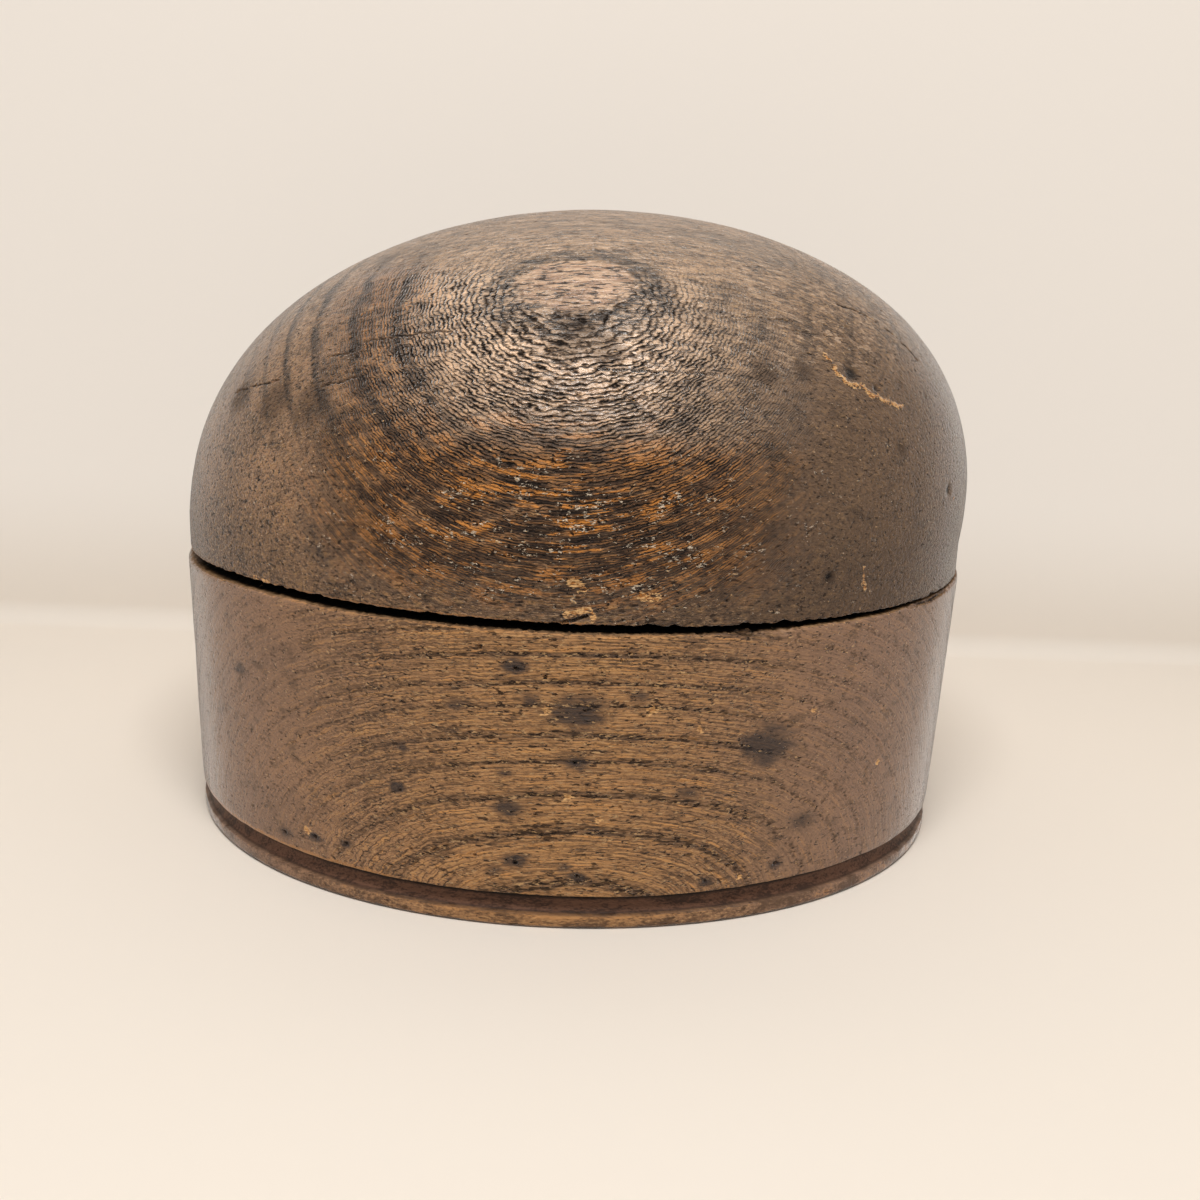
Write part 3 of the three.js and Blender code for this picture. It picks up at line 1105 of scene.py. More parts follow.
class Shader(Nodes):
    """Builds one material's nodes. Places are in millimetres."""

    def __init__(self, name):
        self.material = bpy.data.materials.get(name) or bpy.data.materials.new(name)
        super().__init__(self.material, "ShaderNodeOutputMaterial")
        coordinates = self.node("ShaderNodeTexCoord", {}, out=3)
        self.places = self.node(
            "ShaderNodeVectorMath", {"operation": "SCALE"}, coordinates, Scale=1 / MM
        )

    def stretch(self, x, y, z, shift=(0.0, 0.0, 0.0)):
        """The places, stretched by three factors and shifted."""
        return self.node(
            "ShaderNodeVectorMath", {"operation": "MULTIPLY_ADD"}, self.places, (x, y, z), shift
        )

    def blotches(self, *stretches, **settings):
        """Noise over stretched places."""
        return self.noise(self.stretch(*stretches), **settings)

    def facing(self):
        """The parts of the direction that the surface faces, in x, y and z."""
        return self.apart(self.node("ShaderNodeNewGeometry", {}, out=1))

    def masks(self, name):
        """The three masks painted on the mesh under a name."""
        colour = self.node("ShaderNodeAttribute", {"attribute_name": name})
        return self.outputs(self.node("ShaderNodeSeparateColor", {}, colour))[:3]

    def relief(self, height):
        """A normal from a height in millimetres."""
        return self.node("ShaderNodeBump", {}, Strength=1.0, Distance=MM, Height=height)

    def grazing(self):
        """One where the surface is seen edge on, for the gloss of old polish."""
        weight = self.node("ShaderNodeLayerWeight", {}, 0.5, out=1)
        return weight.step(0.45, 0.85)

    def end_grain(self):
        """One where the grain is met end on: on both ends of the oval."""
        return self.facing()[0].size().step(0.84, 0.95)

    def finish(self, colour, roughness, normal, **constants):
        return self.node("ShaderNodeBsdfPrincipled", {}, **{
            "Base Color": colour, "Roughness": roughness, "Normal": normal, **constants,
        })

    def wear_between(self, share, dull, polished):
        """A surface that is dull where the share is nothing and polished where it is one."""
        self.cover(self.node("ShaderNodeMixShader", {}, share, dull, polished))
        return self.material


def grey(value):
    return (value, value, value, 1.0)


# A haze of dust and old polish that shows where the surface is seen edge on
DUST = {"Sheen_Weight": 0.9, "Sheen_Roughness": 0.28}


class Grain:
    """Growth rings round a pith that runs almost along the block's long way, in millimetres."""

    def __init__(self, s, pith, bow, reach):
        x, y, z = s.apart(s.places)[:3]
        across = y - (x * bow[0] + x * x * bow[2] + pith[0])
        up = z - (x * bow[1] + x * x * bow[3] + pith[1])
        self.s = s
        self.x = x
        self.radius = (across * across + up * up).root()
        self.turn = across.math("ARCTAN2", up) * reach
        # How squarely the surface cuts the rings: one where it runs along them
        normal = s.node("ShaderNodeNewGeometry", {}, out=1)
        outward = s.node(
            "ShaderNodeVectorMath", {"operation": "NORMALIZE"}, s.together(0.0, across, up)
        )
        self.along = s.node(
            "ShaderNodeVectorMath", {"operation": "DOT_PRODUCT"}, normal, outward, out=1
        ).size()

    def flow(self, along, across, shift=0.0):
        """Coordinates that run with the rings: coarse along them and fine across them."""
        return self.s.together(
            self.x * along + shift, self.turn * along, self.radius * across
        )

    def rings(self, edges, span, distance):
        """How far a distance from the pith has come through its ring, nothing to one."""
        last = len(edges) - 1
        stops = [(edge / span, grey(index / last)) for index, edge in enumerate(edges)]
        count = self.s.node("ShaderNodeValToRGB", {"stops": stops}, distance / span)
        return (count * float(last)).fraction()


# Edges of the rings, as distances from the pith, and the span that their count covers
CROWN_RING_SPAN = 125.0
CROWN_RING_EDGES = (
    0, 6, 11, 16, 20, 24.5, 29, 33, 38, 42, 47, 51, 55.5, 60, 64, 68.5, 73, 77, 81, 85, 89,
    93, 96.6, 100.2, 103.6, 107.3, 111.3, 114.4, 117.8, 124.5,
)
BASE_RING_SPAN = 210.0
BASE_RING_EDGES = (
    0, 7, 13, 19, 25, 32, 37.9, 43.9, 49.9, 54.6, 60.6, 65.1, 70.5, 76, 81.5, 87, 92, 98, 103.5,
    109, 114, 120, 126, 131, 137, 143, 149, 155, 162, 170, 185, 205,
)
# The oval figure near the crest
KNOT_PLACE = (-2.4, -51.6, 139.3)
KNOT_SIZE = (20.0, 12.5, 12.5)
# Above this distance from the pith the ripples of the crown crowd together
CROWDING = 112.5
CROWN_RIPPLE = 0.215
# Least distance of the base's face from its pith, and the spacing of its dark lines
BASE_NEAREST = 29.0
BASE_LINE = 0.78
# Factors of x and y squared that give one on the edge of each seam face
CROWN_OVAL = (1.01e-4, 1.51e-4)
BASE_OVAL = (1.0e-4, 1.487e-4)
# The painted shade of the seam gap on the seam faces starts at one share of the oval and is full
# at the other
SEAM_SHADE = (0.78, 0.90)


def crown_wood(finish):
    """Old open-grained wood: ripple bands eroded at the front, smooth and brown elsewhere."""
    s = Shader("crown_wood")
    x, y, z = s.apart(s.places)[:3]
    relief_zone, orange_zone, speck_zone = s.masks("zones")
    ring_zone, dash_zone, inside = s.masks("grain")
    patch, bare, hollow = s.masks("marks")
    edge_wear, right_zone, polish_and_highlight_zone = s.masks("wear")
    grain = Grain(s, (17.214, 42.042), (-0.025, 0.046, 0.483e-3, -0.628e-3), 119.0)

    slow = s.blotches(0.018, 0.05, 0.05, detail=2)
    wander = s.blotches(0.09, 0.22, 0.22, detail=2)
    jitter = s.blotches(0.42, 0.7, 0.7, detail=2, roughness=0.6)
    grime = s.blotches(0.12, 0.26, 0.26, detail=3, roughness=0.62)
    streak = s.noise(grain.flow(0.08, 3.4), detail=2, roughness=0.6)
    break_up = s.noise(grain.flow(0.40, 3.0, 7.0), detail=2, roughness=0.65)
    stroke = s.blotches(0.26, 1.15, 1.15, (2.0, 0.0, 9.0), detail=3,
                     roughness=0.7)
    fine = s.blotches(0.8, 2.0, 2.0, detail=2, roughness=0.75)
    crest_line = s.blotches(0.10, 0.9, 0.9, (1.0, 4.0, 0.0), detail=3,
                         roughness=0.72)
    pore_noise = s.blotches(0.36, 1.7, 1.7, detail=1)
    crumb_noise = s.blotches(0.62, 1.15, 1.15, (5.0, 0.0, 0.0), detail=3,
                          roughness=0.72)

    # Rings: a soft dark belt of pores at the start of each
    bent = grain.radius + 0.45 + (slow - 0.5) * 1.2 + (wander - 0.5) * 0.7
    ring = grain.rings(CROWN_RING_EDGES, CROWN_RING_SPAN, bent)
    ends = s.end_grain()
    belt = ring.step(0.0, 0.10) * ring.step(0.42, 0.16) * ring_zone.above(ends * 0.9)
    belt = belt * (stroke * 0.6 + grime * 0.6).step(0.86, 0.56)

    # The small oval figure near the crest
    knot_far = s.node(
        "ShaderNodeVectorMath", {"operation": "LENGTH"},
        s.stretch(
            *(1 / size for size in KNOT_SIZE),
            tuple(-place / size for place, size in zip(KNOT_PLACE, KNOT_SIZE)),
        ),
        out=1,
    ) + (wander - 0.5) * 0.35 + (jitter - 0.5) * 0.20
    below_knot = z.step(138.0, 131.0)
    knot_ring = knot_far.step(0.60, 0.74) * (knot_far - below_knot * 0.30).step(1.14, 0.88)
    knot_heart = knot_far.step(0.72, 0.56)

    # Ripple bands inside each ring, closer together towards the crest
    above_front = (grain.radius - CROWDING).above(0.0)
    phase = (
        (grain.radius + (jitter - 0.5) * 0.42 + (wander - 0.5) * 0.50 + (grime - 0.5) * 0.30)
        * (math.pi / CROWN_RIPPLE)
        + above_front * above_front * 0.25
    )
    ripple = phase.sine().size()
    flat_cut = grain.along.step(0.5, 0.9)
    calm = 1 - knot_heart * 0.9
    low = z.step(116.0, 98.0)
    carved = (
        ripple * (0.75 + low * 0.45) + (break_up - 0.5) * (1.5 - low * 0.6)
        + (grime - 0.5) * 0.9 - low * 0.12
    )
    right_side = x.step(8.0, 34.0) * z.step(104.0, 120.0)
    right_high = x.step(10.0, 34.0) * z.step(127.0, 137.0)
    ripple_zone = relief_zone * flat_cut * calm * (1 - right_side * 0.3) * (1 - right_high * 0.6)
    groove = carved.step(0.25, 0.04) * (ripple_zone * 0.92 + 0.08)
    ridge = carved.step(0.30, 0.56) * ripple_zone
    pit = carved.step(-0.06, -0.20) * relief_zone

    # Broken grain: clusters of small pits with pale rims
    cluster = speck_zone * 0.125 + (wander - 0.5) * 0.38
    broken = crumb_noise + cluster - 0.02
    crumb = broken.step(0.655, 0.69) * fine.step(0.50, 0.56)
    hole = broken.step(0.64, 0.68) * fine.step(0.50, 0.44)

    pores = pore_noise.step(0.62, 0.70)
    dense = pore_noise.step(0.46, 0.60) * belt
    heart_dash = pore_noise.step(0.53, 0.62) * knot_heart
    dash_noise = s.blotches(0.30, 0.62, 0.9, (0.0, 3.0, 0.0), detail=2)
    dash = dash_noise.step(0.62, 0.67) * dash_zone

    # Colour: the shares and the woods first, then the layers
    dark = finish.crown_dark
    # Near-black of grooves, pits, holes and cracks: dirt, with painted shade in them
    dirt_and_shade = linear(20, 14, 11)
    soft = right_zone.above(ends * 0.9)
    crest = z.step(116.0, 132.0)
    middle = z.step(125.0, 118.0) * z.step(103.0, 110.0)
    streaks = (
        streak.step(0.48, 0.54) * orange_zone * (wander + grime).step(0.94, 1.06)
        * fine.step(0.34, 0.46)
    )
    smudge = (patch + (grime - 0.5) * 1.1 + (stroke - 0.5) * 0.9).step(0.30, 0.95)
    worn_edge = (edge_wear + (fine - 0.5) * 0.9 + (grime - 0.5) * 0.8).step(0.45, 0.75)
    bare_edge = (bare + (fine - 0.5) * 1.8 + (crumb_noise - 0.5) * 2.4).step(0.52, 0.66)
    seam_face = s.facing()[2].step(-0.80, -0.95) * z.step(90.0, 80.0)
    inner = inside.above(seam_face)
    radial = (x * x * CROWN_OVAL[0] + y * y * CROWN_OVAL[1]).root()
    knot_wood = s.mix(crest_line.step(0.44, 0.56), linear(178, 138, 112), linear(218, 182, 150))
    tan = s.layers(
        linear(124, 86, 58),
        (streak.step(0.44, 0.58), linear(190, 128, 68)),
        # painted highlight: ridges paler where the lamp's highlight falls
        (polish_and_highlight_zone * 0.9, linear(252, 214, 178)),
    )
    fresh = s.layers(
        linear(178, 114, 54),
        (fine.step(0.42, 0.58), finish.bare_wood),
        (stroke.step(0.46, 0.38), linear(74, 50, 34)),
    )
    raw = s.layers(
        linear(92, 70, 50),
        ((fine * 0.5 + slow * 0.5).step(0.36, 0.62), linear(146, 112, 80)),
        (stroke.step(0.50, 0.36) * 0.5, linear(66, 48, 34)),
    )
    colour = s.layers(
        linear(160, 125, 96),
        (x.step(-45.0, 45.0), linear(108, 85, 66)),
        # paler towards the crest: paler wood, and painted sheen of the top, which is seen edge on
        (z.step(114.0, 146.0), linear(180, 146, 116)),
        (slow.step(0.40, 0.62) * 0.5, linear(108, 84, 64)),
        (z.step(98.0, 78.0) * 0.45, linear(78, 60, 46)),
        (grime.step(0.48, 0.34) * 0.55, linear(72, 56, 44)),
        (knot_heart * 0.55, linear(196, 156, 126)),
        # painted reflection of the pale surroundings: greyer towards both ends, which are seen
        # edge on
        (x.size().step(66.0, 94.0) * 0.3 * (1 - ends), linear(142, 120, 102)),
        (ends * 0.6, linear(116, 85, 58)),
        (stroke.step(0.50, 0.34) * (0.70 - soft * 0.35), linear(52, 40, 31)),
        (stroke.step(0.52, 0.66) * (0.55 - soft * 0.35), linear(172, 134, 88)),
        (fine.step(0.46, 0.34) * (0.76 - soft * 0.25), linear(42, 32, 26)),
        (fine.step(0.55, 0.66) * (0.58 - soft * 0.42), linear(178, 146, 112)),
        (crest_line.step(0.48, 0.38) * crest * 0.62, linear(72, 58, 48)),
        (crest_line.step(0.54, 0.64) * crest * 0.5, linear(222, 190, 160)),
        (knot_heart * 0.5, knot_wood),
        # Eroded front: dark blotches, fewer in the painted highlight, tan and orange on what
        # stands proud
        (relief_zone * grime.step(0.66, 0.44) * (0.78 - polish_and_highlight_zone * 0.5), linear(46, 34, 28)),
        (
            ridge * (0.20 + stroke.step(0.40, 0.56) * 0.60) * (1 - orange_zone * 0.75)
            * (1 - middle * 0.35) * (1 - right_side * 0.6),
            tan,
        ),
        (streaks * 0.85, finish.crown_orange),
        (streak.step(0.50, 0.43) * (orange_zone * 0.72 + 0.08), dark),
        # Belts, ring of the knot, pores, and grooves painted near-black: dirt, and painted shade
        # that the bump alone doesn't give
        (belt * 0.72, linear(60, 48, 39)),
        (knot_ring * (0.46 + stroke.step(0.58, 0.42) * 0.46), linear(50, 40, 34)),
        (groove * (relief_zone * (0.72 - z.step(120.0, 134.0) * 0.36) + 0.22), dirt_and_shade),
        (pores * (0.75 - z.step(120.0, 140.0) * 0.35), dark),
        ((dense * 0.8).above(heart_dash * 0.8), dark),
        (dash * 0.85, dark),
        (smudge * 0.58, linear(54, 44, 38)),
        (pit * 0.9, dirt_and_shade),
        (crumb * 0.9, linear(232, 214, 190)),
        (hole * 0.92, dirt_and_shade),
        # Worn edges, hollows and chips
        (worn_edge * 0.7, linear(176, 126, 80)),
        (hollow.step(0.2, 0.7) * 0.95, dirt_and_shade),
        (bare_edge * 0.95, fresh),
        # Seam face and holes: dull, with painted shade of the seam gap near the edge
        (inner, raw),
        (seam_face * radial.step(*SEAM_SHADE), linear(16, 12, 10)),
    )

    height = (
        (carved.below(0.62) * 0.85 - pit * 0.15) * ripple_zone
        - groove * 0.05
        - pores * 0.09
        - dense * 0.08
        - heart_dash * 0.06
        - belt * 0.04
        - dash * 0.12
        + stroke * (0.42 - polish_and_highlight_zone * 0.28)
        + fine * (0.50 - polish_and_highlight_zone * 0.34)
        + crumb * 0.14
        - hole * 0.22
        + grime * (relief_zone * 0.30 + 0.05)
        + streaks * 0.08
        + crest_line * crest * 0.35
        + bare_edge * fine * 0.3
    )
    normal = s.relief(height)
    polished = (
        (0.34 + polish_and_highlight_zone * 0.66 + s.grazing() * (0.6 - x.step(-58.0, -86.0) * 0.25))
        * (1 - groove) * (1 - hole)
        * (1 - smudge * 0.6) * (1 - inner) * (1 - pores * 0.7)
        * (1 - low * relief_zone * 0.75 * (1 - polish_and_highlight_zone)) * (1 - ring_zone * 0.1)
    ).above(0.0)
    rough = 0.34 - polish_and_highlight_zone * 0.17 + grime * 0.10
    return s.wear_between(
        polished,
        s.finish(colour, 0.75, normal, Specular_IOR_Level=0.12),
        s.finish(colour, rough, normal, Specular_IOR_Level=0.5, **DUST),
    )


def base_wood(finish):
    """The same wood, flatter sawn, with fine level lines, arched rings, stains and pin holes."""
    s = Shader("base_wood")
    x, y, z = s.apart(s.places)[:3]
    worn_zone, ring_zone, grey_and_reflection_zone = s.masks("zones")
    stain, bare, hollow = s.masks("marks")
    edge_wear, inside, groove_zone = s.masks("wear")
    grain = Grain(s, (-111.1, 0.0), (0.007, 0.015, 0.0, 0.0), 60.0)

    slow = s.blotches(0.018, 0.05, 0.05, (3.0, 1.0, 7.0), detail=2)
    wander = s.blotches(0.09, 0.22, 0.22, (5.0, 1.0, 2.0), detail=2)
    jitter = s.blotches(0.34, 0.6, 0.6, (1.0, 9.0, 2.0), detail=2, roughness=0.6)
    grime = s.blotches(0.10, 0.34, 0.34, (8.0, 5.0, 0.0), detail=3, roughness=0.6)
    pore_noise = s.blotches(0.38, 1.6, 1.6, (4.0, 0.0, 0.0), detail=1)
    fine = s.blotches(0.7, 2.2, 2.2, (0.0, 2.0, 0.0), detail=2, roughness=0.7)
    # Level lines: as fine at the foot as at the top, and crinkled on the left
    crinkle = x.step(-8.0, -44.0)
    rise = (grain.radius * grain.radius - BASE_NEAREST * BASE_NEAREST).above(0.0).root()
    waved = rise + (jitter - 0.5) * (0.45 + crinkle * 1.0) + (wander - 0.5) * 1.0
    fibre = s.noise(
        s.together(x * 0.10 + 4.0, grain.turn * 0.10, waved * 2.6), detail=3, roughness=0.7
    )
    ends = s.end_grain()
    calm = grey_and_reflection_zone.step(0.30, 0.62) * (1 - ends)
    streak = s.noise(
        s.together(x * 0.10, grain.turn * 0.10 + 9.0, waved * 1.05), detail=2, roughness=0.6
    )
    line = (waved * (math.pi / BASE_LINE)).sine().size().step(0.50, 0.10)

    bent = grain.radius + (slow - 0.5) * 1.6 + (wander - 0.5) * 0.9
    ring = grain.rings(BASE_RING_EDGES, BASE_RING_SPAN, bent)
    above_lip = z.step(7.6, 8.4)
    belt = ring.step(0.0, 0.06) * ring.step(0.30, 0.10) * ring_zone.above(ends * 0.8) * above_lip
    shown = (streak * 0.5 + grime * 0.5).step(0.42, 0.54) * above_lip
    line = line * (0.35 + shown * 0.65) * (0.60 + crinkle * 0.25) * (1 - calm * 0.85)
    dark_line = fibre.step(0.48, 0.40) * above_lip * (1 - calm * 0.65)
    light_line = fibre.step(0.53, 0.60) * above_lip * (1 - calm * 0.65)
    pores = pore_noise.step(0.62, 0.70) * above_lip
    dense = pore_noise.step(0.47, 0.58) * belt
    dash_noise = s.blotches(0.30, 0.7, 1.1, (9.0, 3.0, 0.0), detail=2)
    dash = dash_noise.step(0.64, 0.69) * (0.4 + worn_zone * 0.6)
    # Torn grain beside the pores: pale flakes and black pits
    tear_noise = s.blotches(0.42, 1.2, 1.7, (2.0, 0.0, 5.0), detail=2)
    torn = tear_noise + belt * 0.09 + worn_zone * 0.09 + z.step(30.0, 60.0) * 0.02 - 0.085
    flake = torn.step(0.60, 0.64) * fine.step(0.52, 0.58) * above_lip
    pitted = torn.step(0.59, 0.63) * fine.step(0.49, 0.43) * above_lip

    # Colour: the shares and the woods first, then the layers
    dark = finish.base_dark
    soft = calm.above(ends * 0.8)
    stain_edge = (
        stain + (grime - 0.5) * 0.9 + (fibre - 0.5) * 0.7 + (wander - 0.5) * 0.5
    ).step(0.34, 0.86)
    worn_edge = (edge_wear + (fine - 0.5) * 0.9 + (grime - 0.5) * 0.9).step(0.42, 0.75)
    bare_edge = (bare + (fine - 0.5) * 1.4 + (jitter - 0.5) * 0.7).step(0.52, 0.66)
    rim_mottle = z.step(3.6, 2.8) * (grime + (fine - 0.5) * 0.6).step(0.62, 0.36)
    seam_face = s.facing()[2].step(0.80, 0.95) * z.step(66.0, 68.0)
    radial = (x * x * BASE_OVAL[0] + y * y * BASE_OVAL[1]).root()
    grey_and_reflection_colour = s.mix(ends, linear(136, 111, 99), linear(120, 88, 60))
    fresh = s.mix(fine.step(0.3, 0.7), linear(176, 118, 62), finish.bare_wood)
    # The groove holds dirt and old wax and is darker again near the rim; its upper part is painted
    # shadow, darkest under its lip
    wax_and_lip_shadow = s.layers(
        linear(66, 46, 36),
        ((fine * 0.5 + grime * 0.5).step(0.40, 0.58), linear(112, 79, 61)),
        # painted shadow under the groove's lip
        (z.step(5.9, 6.8), linear(28, 19, 14)),
        (z.step(4.0, 3.5) * 0.6, linear(44, 31, 24)),
    )
    raw = s.layers(
        linear(98, 74, 52),
        ((fine * 0.5 + slow * 0.5).step(0.36, 0.62), linear(152, 118, 84)),
        (dark_line * 0.5, linear(70, 51, 36)),
    )
    colour = s.layers(
        linear(132, 97, 64),
        (slow.step(0.38, 0.62), finish.base_brown),
        (worn_zone * 0.5, linear(192, 142, 92)),
        # Sides and ends: grey tone, and painted reflection of the pale surroundings, paler towards
        # both ends
        (grey_and_reflection_zone * 0.85, grey_and_reflection_colour),
        (x.size().step(62.0, 96.0) * (1 - ends) * 0.4, linear(150, 124, 104)),
        (grime.step(0.47, 0.34) * 0.50, linear(86, 65, 48)),
        (dark_line * 0.62, linear(70, 50, 35)),
        (light_line * (0.30 + worn_zone * 0.45), linear(196, 146, 92)),
        (streak.step(0.52, 0.60) * light_line * (worn_zone * 0.9 + 0.05), finish.base_orange),
        (fine.step(0.46, 0.34) * (0.62 - soft * 0.34), linear(62, 45, 33)),
        (fine.step(0.56, 0.66) * (0.50 - soft * 0.32), linear(200, 158, 110)),
        (belt * (0.55 - calm * 0.40), linear(76, 60, 50)),
        (line * 0.70, linear(58, 42, 31)),
        (pores * 0.6, dark),
        (dense * 0.85, dark),
        (dash * 0.8, linear(44, 34, 29)),
        (stain_edge * 0.86, finish.ink_stain),
        (flake * 0.7, linear(204, 162, 112)),
        (pitted * 0.85, linear(30, 22, 18)),
        # Worn edges, pin holes and chips
        (worn_edge * 0.75, linear(186, 134, 84)),
        (hollow.step(0.25, 0.7) * 0.92, linear(24, 18, 16)),
        (bare_edge * 0.9, fresh),
        (groove_zone, wax_and_lip_shadow),
        (rim_mottle * 0.75, linear(84, 60, 43)),
        # Seam face and holes: dull wood, black just inside the edge as painted shade of the seam
        # gap
        (inside.above(seam_face), raw),
        (seam_face * radial.step(*SEAM_SHADE) * radial.step(0.99, 0.97), linear(16, 12, 10)),
    )

    height = (
        fibre * 0.34 - line * 0.12 - pores * 0.08 - dense * 0.12 - belt * 0.03 - dash * 0.14
        + fine * 0.22 + grime * 0.08 + flake * 0.16 - pitted * 0.2
    ) * (1 - groove_zone * 0.5) * (1 - calm * 0.55)
    normal = s.relief(height)
    polished = (
        (0.40 + grey_and_reflection_zone * 0.3 + s.grazing() * 0.45) * (1 - dense) * (1 - dash)
        * (1 - line * 0.7) * (1 - pitted)
        * (1 - hollow) * (1 - inside.above(seam_face)) * (1 - groove_zone * 0.5)
    ).above(0.0)
    rough = 0.38 + grime * 0.12
    return s.wear_between(
        polished,
        s.finish(colour, 0.75, normal, Specular_IOR_Level=0.12),
        s.finish(colour, rough, normal, Specular_IOR_Level=0.45, **DUST),
    )


def peg_wood(finish):
    """Plain straight-grained dowel wood, the grain running up the peg."""
    s = Shader("peg_wood")
    fibre = s.blotches(2.2, 2.2, 0.12, detail=3, roughness=0.6)
    streak = s.blotches(0.8, 0.8, 0.05, detail=2)
    smudge = s.blotches(0.25, 0.25, 0.2, detail=3)
    colour = s.layers(
        linear(160, 124, 84),
        (streak.step(0.35, 0.65), finish.peg_wood),
        (fibre.step(0.58, 0.72) * 0.6, linear(92, 66, 42)),
        (smudge.step(0.5, 0.75) * 0.5, linear(84, 64, 48)),
    )
    normal = s.relief(fibre * 0.08 + smudge * 0.05)
    return s.wear_between(
        smudge.step(0.4, 0.7) * 0.6,
        s.finish(colour, 0.8, normal, Specular_IOR_Level=0.2),
        s.finish(colour, 0.5 + fibre * 0.2, normal, Specular_IOR_Level=0.5),
    )


# Stage: floor, backdrop, lights and the camera

CAMERA_PLACE = (-2.508, -350.8, 153.935)
CAMERA_PAN = 0.0273167
CAMERA_TILT = 0.2782324
CAMERA_ROLL = 0.0429403
CAMERA_LENS = 40.586


def make_camera():
    forward = Vector((
        math.sin(CAMERA_PAN) * math.cos(CAMERA_TILT),
        math.cos(CAMERA_PAN) * math.cos(CAMERA_TILT),
        -math.sin(CAMERA_TILT),
    ))
    level = Vector((math.cos(CAMERA_PAN), -math.sin(CAMERA_PAN), 0))
    upright = level.cross(forward)
    right = level * math.cos(CAMERA_ROLL) + upright * math.sin(CAMERA_ROLL)
    up = upright * math.cos(CAMERA_ROLL) - level * math.sin(CAMERA_ROLL)
    data = bpy.data.cameras.new("photo_camera")
    data.sensor_width = 36
    data.lens = CAMERA_LENS
    data.clip_start = 0.01
    data.clip_end = 20
    camera = bpy.data.objects.new("photo_camera", data)
    camera.matrix_world = Matrix((
        (right.x, up.x, -forward.x, CAMERA_PLACE[0] * MM),
        (right.y, up.y, -forward.y, CAMERA_PLACE[1] * MM),
        (right.z, up.z, -forward.z, CAMERA_PLACE[2] * MM),
        (0, 0, 0, 1),
    ))
    bpy.context.scene.collection.objects.link(camera)
    bpy.context.scene.camera = camera


# The card: its size, the height of its back and the fold behind the block
CARD_SIZE = 4000.0
CARD_RISE = 1600.0
FOLD_PLACE = 134.0
FOLD_ROUND = 8.0
FOLD_STEPS = 10
# A hair of room under the block
FLOOR_DROP = 0.15


def make_backdrop(finish):
    """A sheet of card: flat floor, a soft fold and an upright back, clear from behind."""
    bpy.ops.object.select_all(action="DESELECT")
    bpy.ops.mesh.primitive_plane_add(size=1)
    card = bpy.context.active_object
    card.name = "backdrop_card"
    bpy.ops.object.mode_set(mode="EDIT")
    bpy.ops.mesh.select_all(action="SELECT")
    bpy.ops.transform.resize(
        value=(CARD_SIZE * MM, CARD_SIZE * MM, 1), center_override=(0, 0, 0)
    )
    back = FOLD_PLACE - FOLD_ROUND
    bpy.ops.transform.translate(value=(0, (back - CARD_SIZE / 2) * MM, -FLOOR_DROP * MM))
    bpy.ops.object.mode_set(mode="OBJECT")
    mesh = card.data
    for vertex in mesh.vertices:
        vertex.select = False
    for edge in mesh.edges:
        places = [mesh.vertices[index].co.y for index in edge.vertices]
        edge.select = min(places) > (back - FOLD_ROUND) * MM
    for polygon in mesh.polygons:
        polygon.select = False
    bpy.context.tool_settings.mesh_select_mode = (False, True, False)
    bpy.ops.object.mode_set(mode="EDIT")
    turns = list(quarter_turn(FOLD_STEPS))
    moves = [
        (0, FOLD_ROUND * MM * (sine - last_sine), FOLD_ROUND * MM * (fall - last_fall))
        for (last_sine, last_fall), (sine, fall) in zip(turns, turns[1:])
    ]
    for move in moves + [(0, 0, CARD_RISE * MM)]:
        bpy.ops.mesh.extrude_region_move(TRANSFORM_OT_translate={"value": move})
    bpy.ops.mesh.select_all(action="SELECT")
    bpy.ops.object.mode_set(mode="OBJECT")
    only(card)
    bpy.ops.object.shade_smooth()
    card.data.materials.append(card_white(finish))


def card_white(finish):
    """Pale card that glows a little as it rises, and is clear from behind."""
    s = Shader("backdrop_card")
    tint = s.mix(
        s.blotches(0.02, 0.02, 0.02, detail=2) * 0.25, finish.floor, linear(236, 225, 210)
    )
    card_paint = s.node("ShaderNodeBsdfDiffuse", {}, tint)
    glow = s.node("ShaderNodeEmission", {}, linear(240, 230, 219), 1.0)
    share = s.seen() * s.apart(s.places)[2].step(0.0, 60.0) * 0.6
    lit = s.node("ShaderNodeMixShader", {}, share, card_paint, glow)
    clear = s.node("ShaderNodeBsdfTransparent", {})
    behind = s.node("ShaderNodeNewGeometry", {}, out=6)
    s.cover(s.node("ShaderNodeMixShader", {}, behind, lit, clear))
    return s.material


# The softbox over the front of the block: place, aim, size, power and colour
LAMP_PLACE = (0, -390, 770)
LAMP_AIM = (0, 0, 60)
LAMP_WIDTH = 400.0
LAMP_DEPTH = 200.0
LAMP_POWER = 5.0
LAMP_COLOUR = (1.0, 0.985, 0.965)
# The tent's light on the block, and its walls where they are seen
TENT_LIGHT = (0.97, 0.985, 1.0, 1)
TENT_POWER = 0.37
WALL_POWER = 0.85


def make_softbox():
    data = bpy.data.lights.new("overhead_softbox", "AREA")
    data.shape = "RECTANGLE"
    data.size = LAMP_WIDTH * MM
    data.size_y = LAMP_DEPTH * MM
    data.energy = LAMP_POWER
    data.color = LAMP_COLOUR
    light = bpy.data.objects.new("overhead_softbox", data)
    light.location = Vector(LAMP_PLACE) * MM
    direction = (Vector(LAMP_AIM) - Vector(LAMP_PLACE)) * MM
    light.rotation_mode = "QUATERNION"
    light.rotation_quaternion = direction.to_track_quat("-Z", "Y")
    bpy.context.scene.collection.objects.link(light)


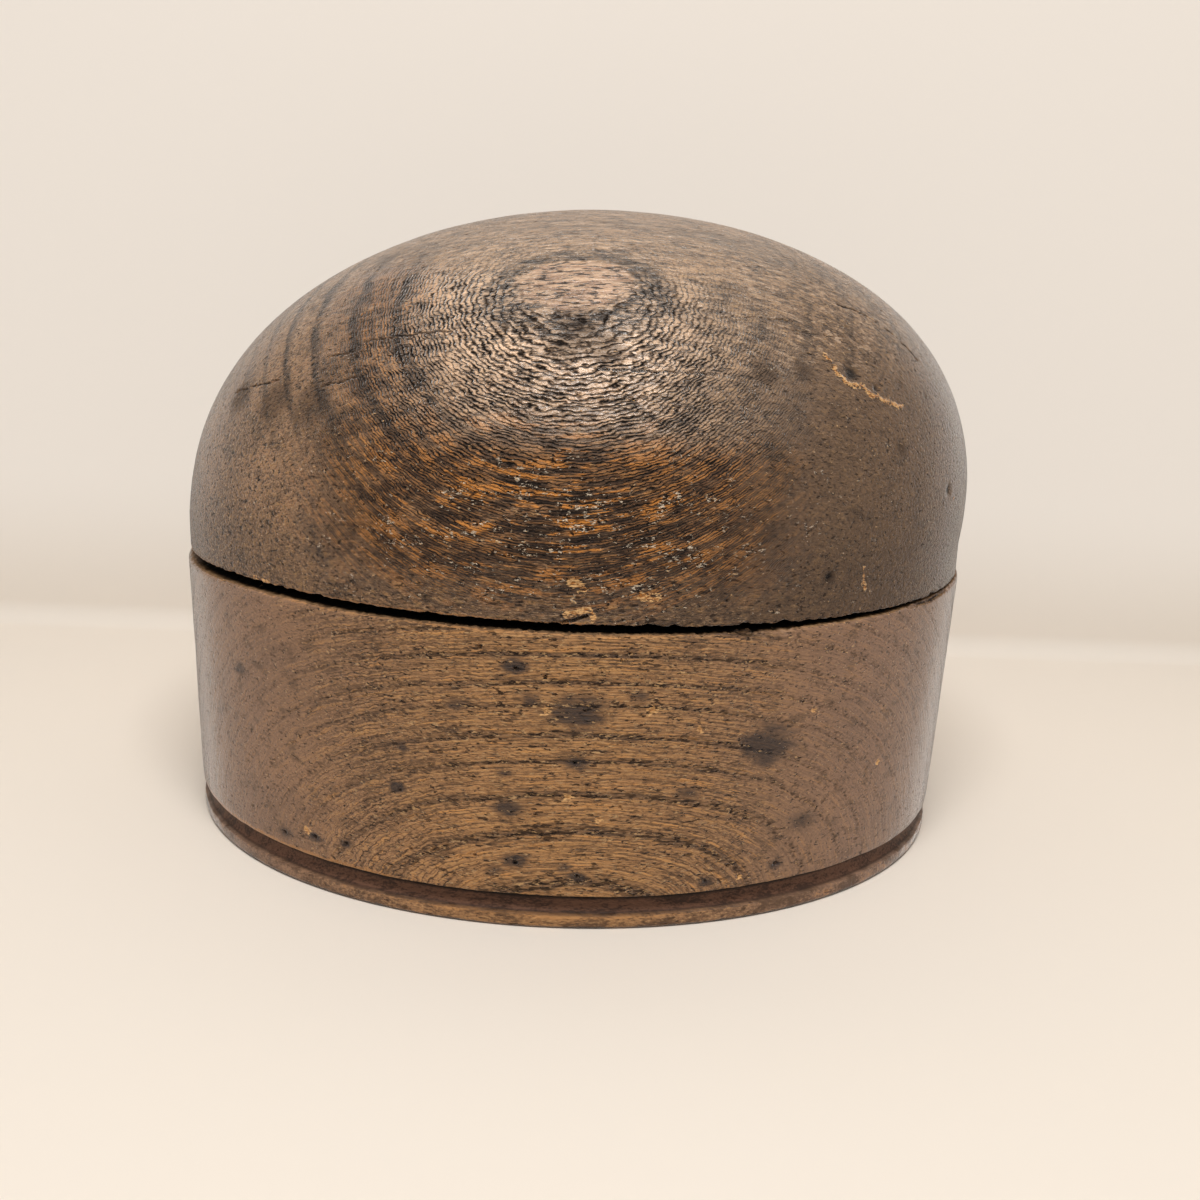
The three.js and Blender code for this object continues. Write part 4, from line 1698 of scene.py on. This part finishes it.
def make_world():
    """The light tent's white walls: soft light, and pale where they are seen or mirrored."""
    world = bpy.data.worlds.new("light_tent")
    bpy.context.scene.world = world
    s = Nodes(world, "ShaderNodeOutputWorld")
    light = s.node("ShaderNodeBackground", {}, TENT_LIGHT, TENT_POWER)
    wall = s.node("ShaderNodeBackground", {}, linear(240, 231, 219), WALL_POWER)
    s.cover(s.node("ShaderNodeMixShader", {}, s.seen(), light, wall))


def make_stage(finish):
    make_backdrop(finish)
    make_softbox()
    make_world()
    make_camera()
    bpy.context.scene.view_settings.view_transform = "Standard"


# Operators and panel

class HATBLOCK_OT_stage(bpy.types.Operator):
    """Builds the floor, backdrop, lights and camera"""

    bl_idname = "hatblock.stage"
    bl_label = "Stage"

    def execute(self, context):
        make_stage(plain_colours(context.scene.hat_block_finish))
        return {"FINISHED"}


class HATBLOCK_OT_base(bpy.types.Operator):
    """Builds the base with its rim, groove, stand hole and peg holes"""

    bl_idname = "hatblock.base"
    bl_label = "Base"

    def execute(self, context):
        sizes = in_millimetres(context.scene.hat_block_sizes)
        base = model_base(sizes)
        weather_base(base, sizes)
        material = base_wood(plain_colours(context.scene.hat_block_finish))
        finish_piece(base, "base_block", material, "base")
        return {"FINISHED"}


class HATBLOCK_OT_crown(bpy.types.Operator):
    """Builds the domed crown with its stand hole and peg sockets"""

    bl_idname = "hatblock.crown"
    bl_label = "Crown"

    def execute(self, context):
        sizes = in_millimetres(context.scene.hat_block_sizes)
        crown = model_crown(sizes)
        weather_crown(crown, sizes)
        material = crown_wood(plain_colours(context.scene.hat_block_finish))
        finish_piece(crown, "crown_block", material, "crown")
        return {"FINISHED"}


class HATBLOCK_OT_pegs(bpy.types.Operator):
    """Builds the two locating pegs"""

    bl_idname = "hatblock.pegs"
    bl_label = "Pegs"

    def execute(self, context):
        sizes = in_millimetres(context.scene.hat_block_sizes)
        material = peg_wood(plain_colours(context.scene.hat_block_finish))
        for name, side in (("left_peg", -1), ("right_peg", 1)):
            peg = model_peg(name + "_whittled", side * sizes.peg_place, sizes)
            finish_piece(peg, "base_block", material, name)
        return {"FINISHED"}


class HATBLOCK_PT_panel(bpy.types.Panel):
    """Lists the steps that build the hat block"""

    bl_idname = "HATBLOCK_PT_panel"
    bl_label = "Hat block"
    bl_space_type = "VIEW_3D"
    bl_region_type = "UI"
    bl_category = "Hat block"

    def draw(self, context):
        for operator in OPERATORS:
            self.layout.operator(operator.bl_idname)
        for group in (context.scene.hat_block_sizes, context.scene.hat_block_finish):
            column = self.layout.column()
            for name in group.bl_rna.properties.keys():
                if name not in ("rna_type", "name"):
                    column.prop(group, name)


OPERATORS = (
    HATBLOCK_OT_stage,
    HATBLOCK_OT_base,
    HATBLOCK_OT_pegs,
    HATBLOCK_OT_crown,
)
CLASSES = (HatBlockSizes, HatBlockFinish) + OPERATORS + (HATBLOCK_PT_panel,)


def register():
    for item in CLASSES:
        bpy.utils.register_class(item)
    bpy.types.Scene.hat_block_sizes = bpy.props.PointerProperty(type=HatBlockSizes)
    bpy.types.Scene.hat_block_finish = bpy.props.PointerProperty(type=HatBlockFinish)


def unregister():
    del bpy.types.Scene.hat_block_sizes
    del bpy.types.Scene.hat_block_finish
    for item in reversed(CLASSES):
        bpy.utils.unregister_class(item)


def main():
    register()
    bpy.ops.hatblock.stage()
    bpy.ops.hatblock.base()
    bpy.ops.hatblock.pegs()
    bpy.ops.hatblock.crown()


if __name__ == "__main__":
    main()
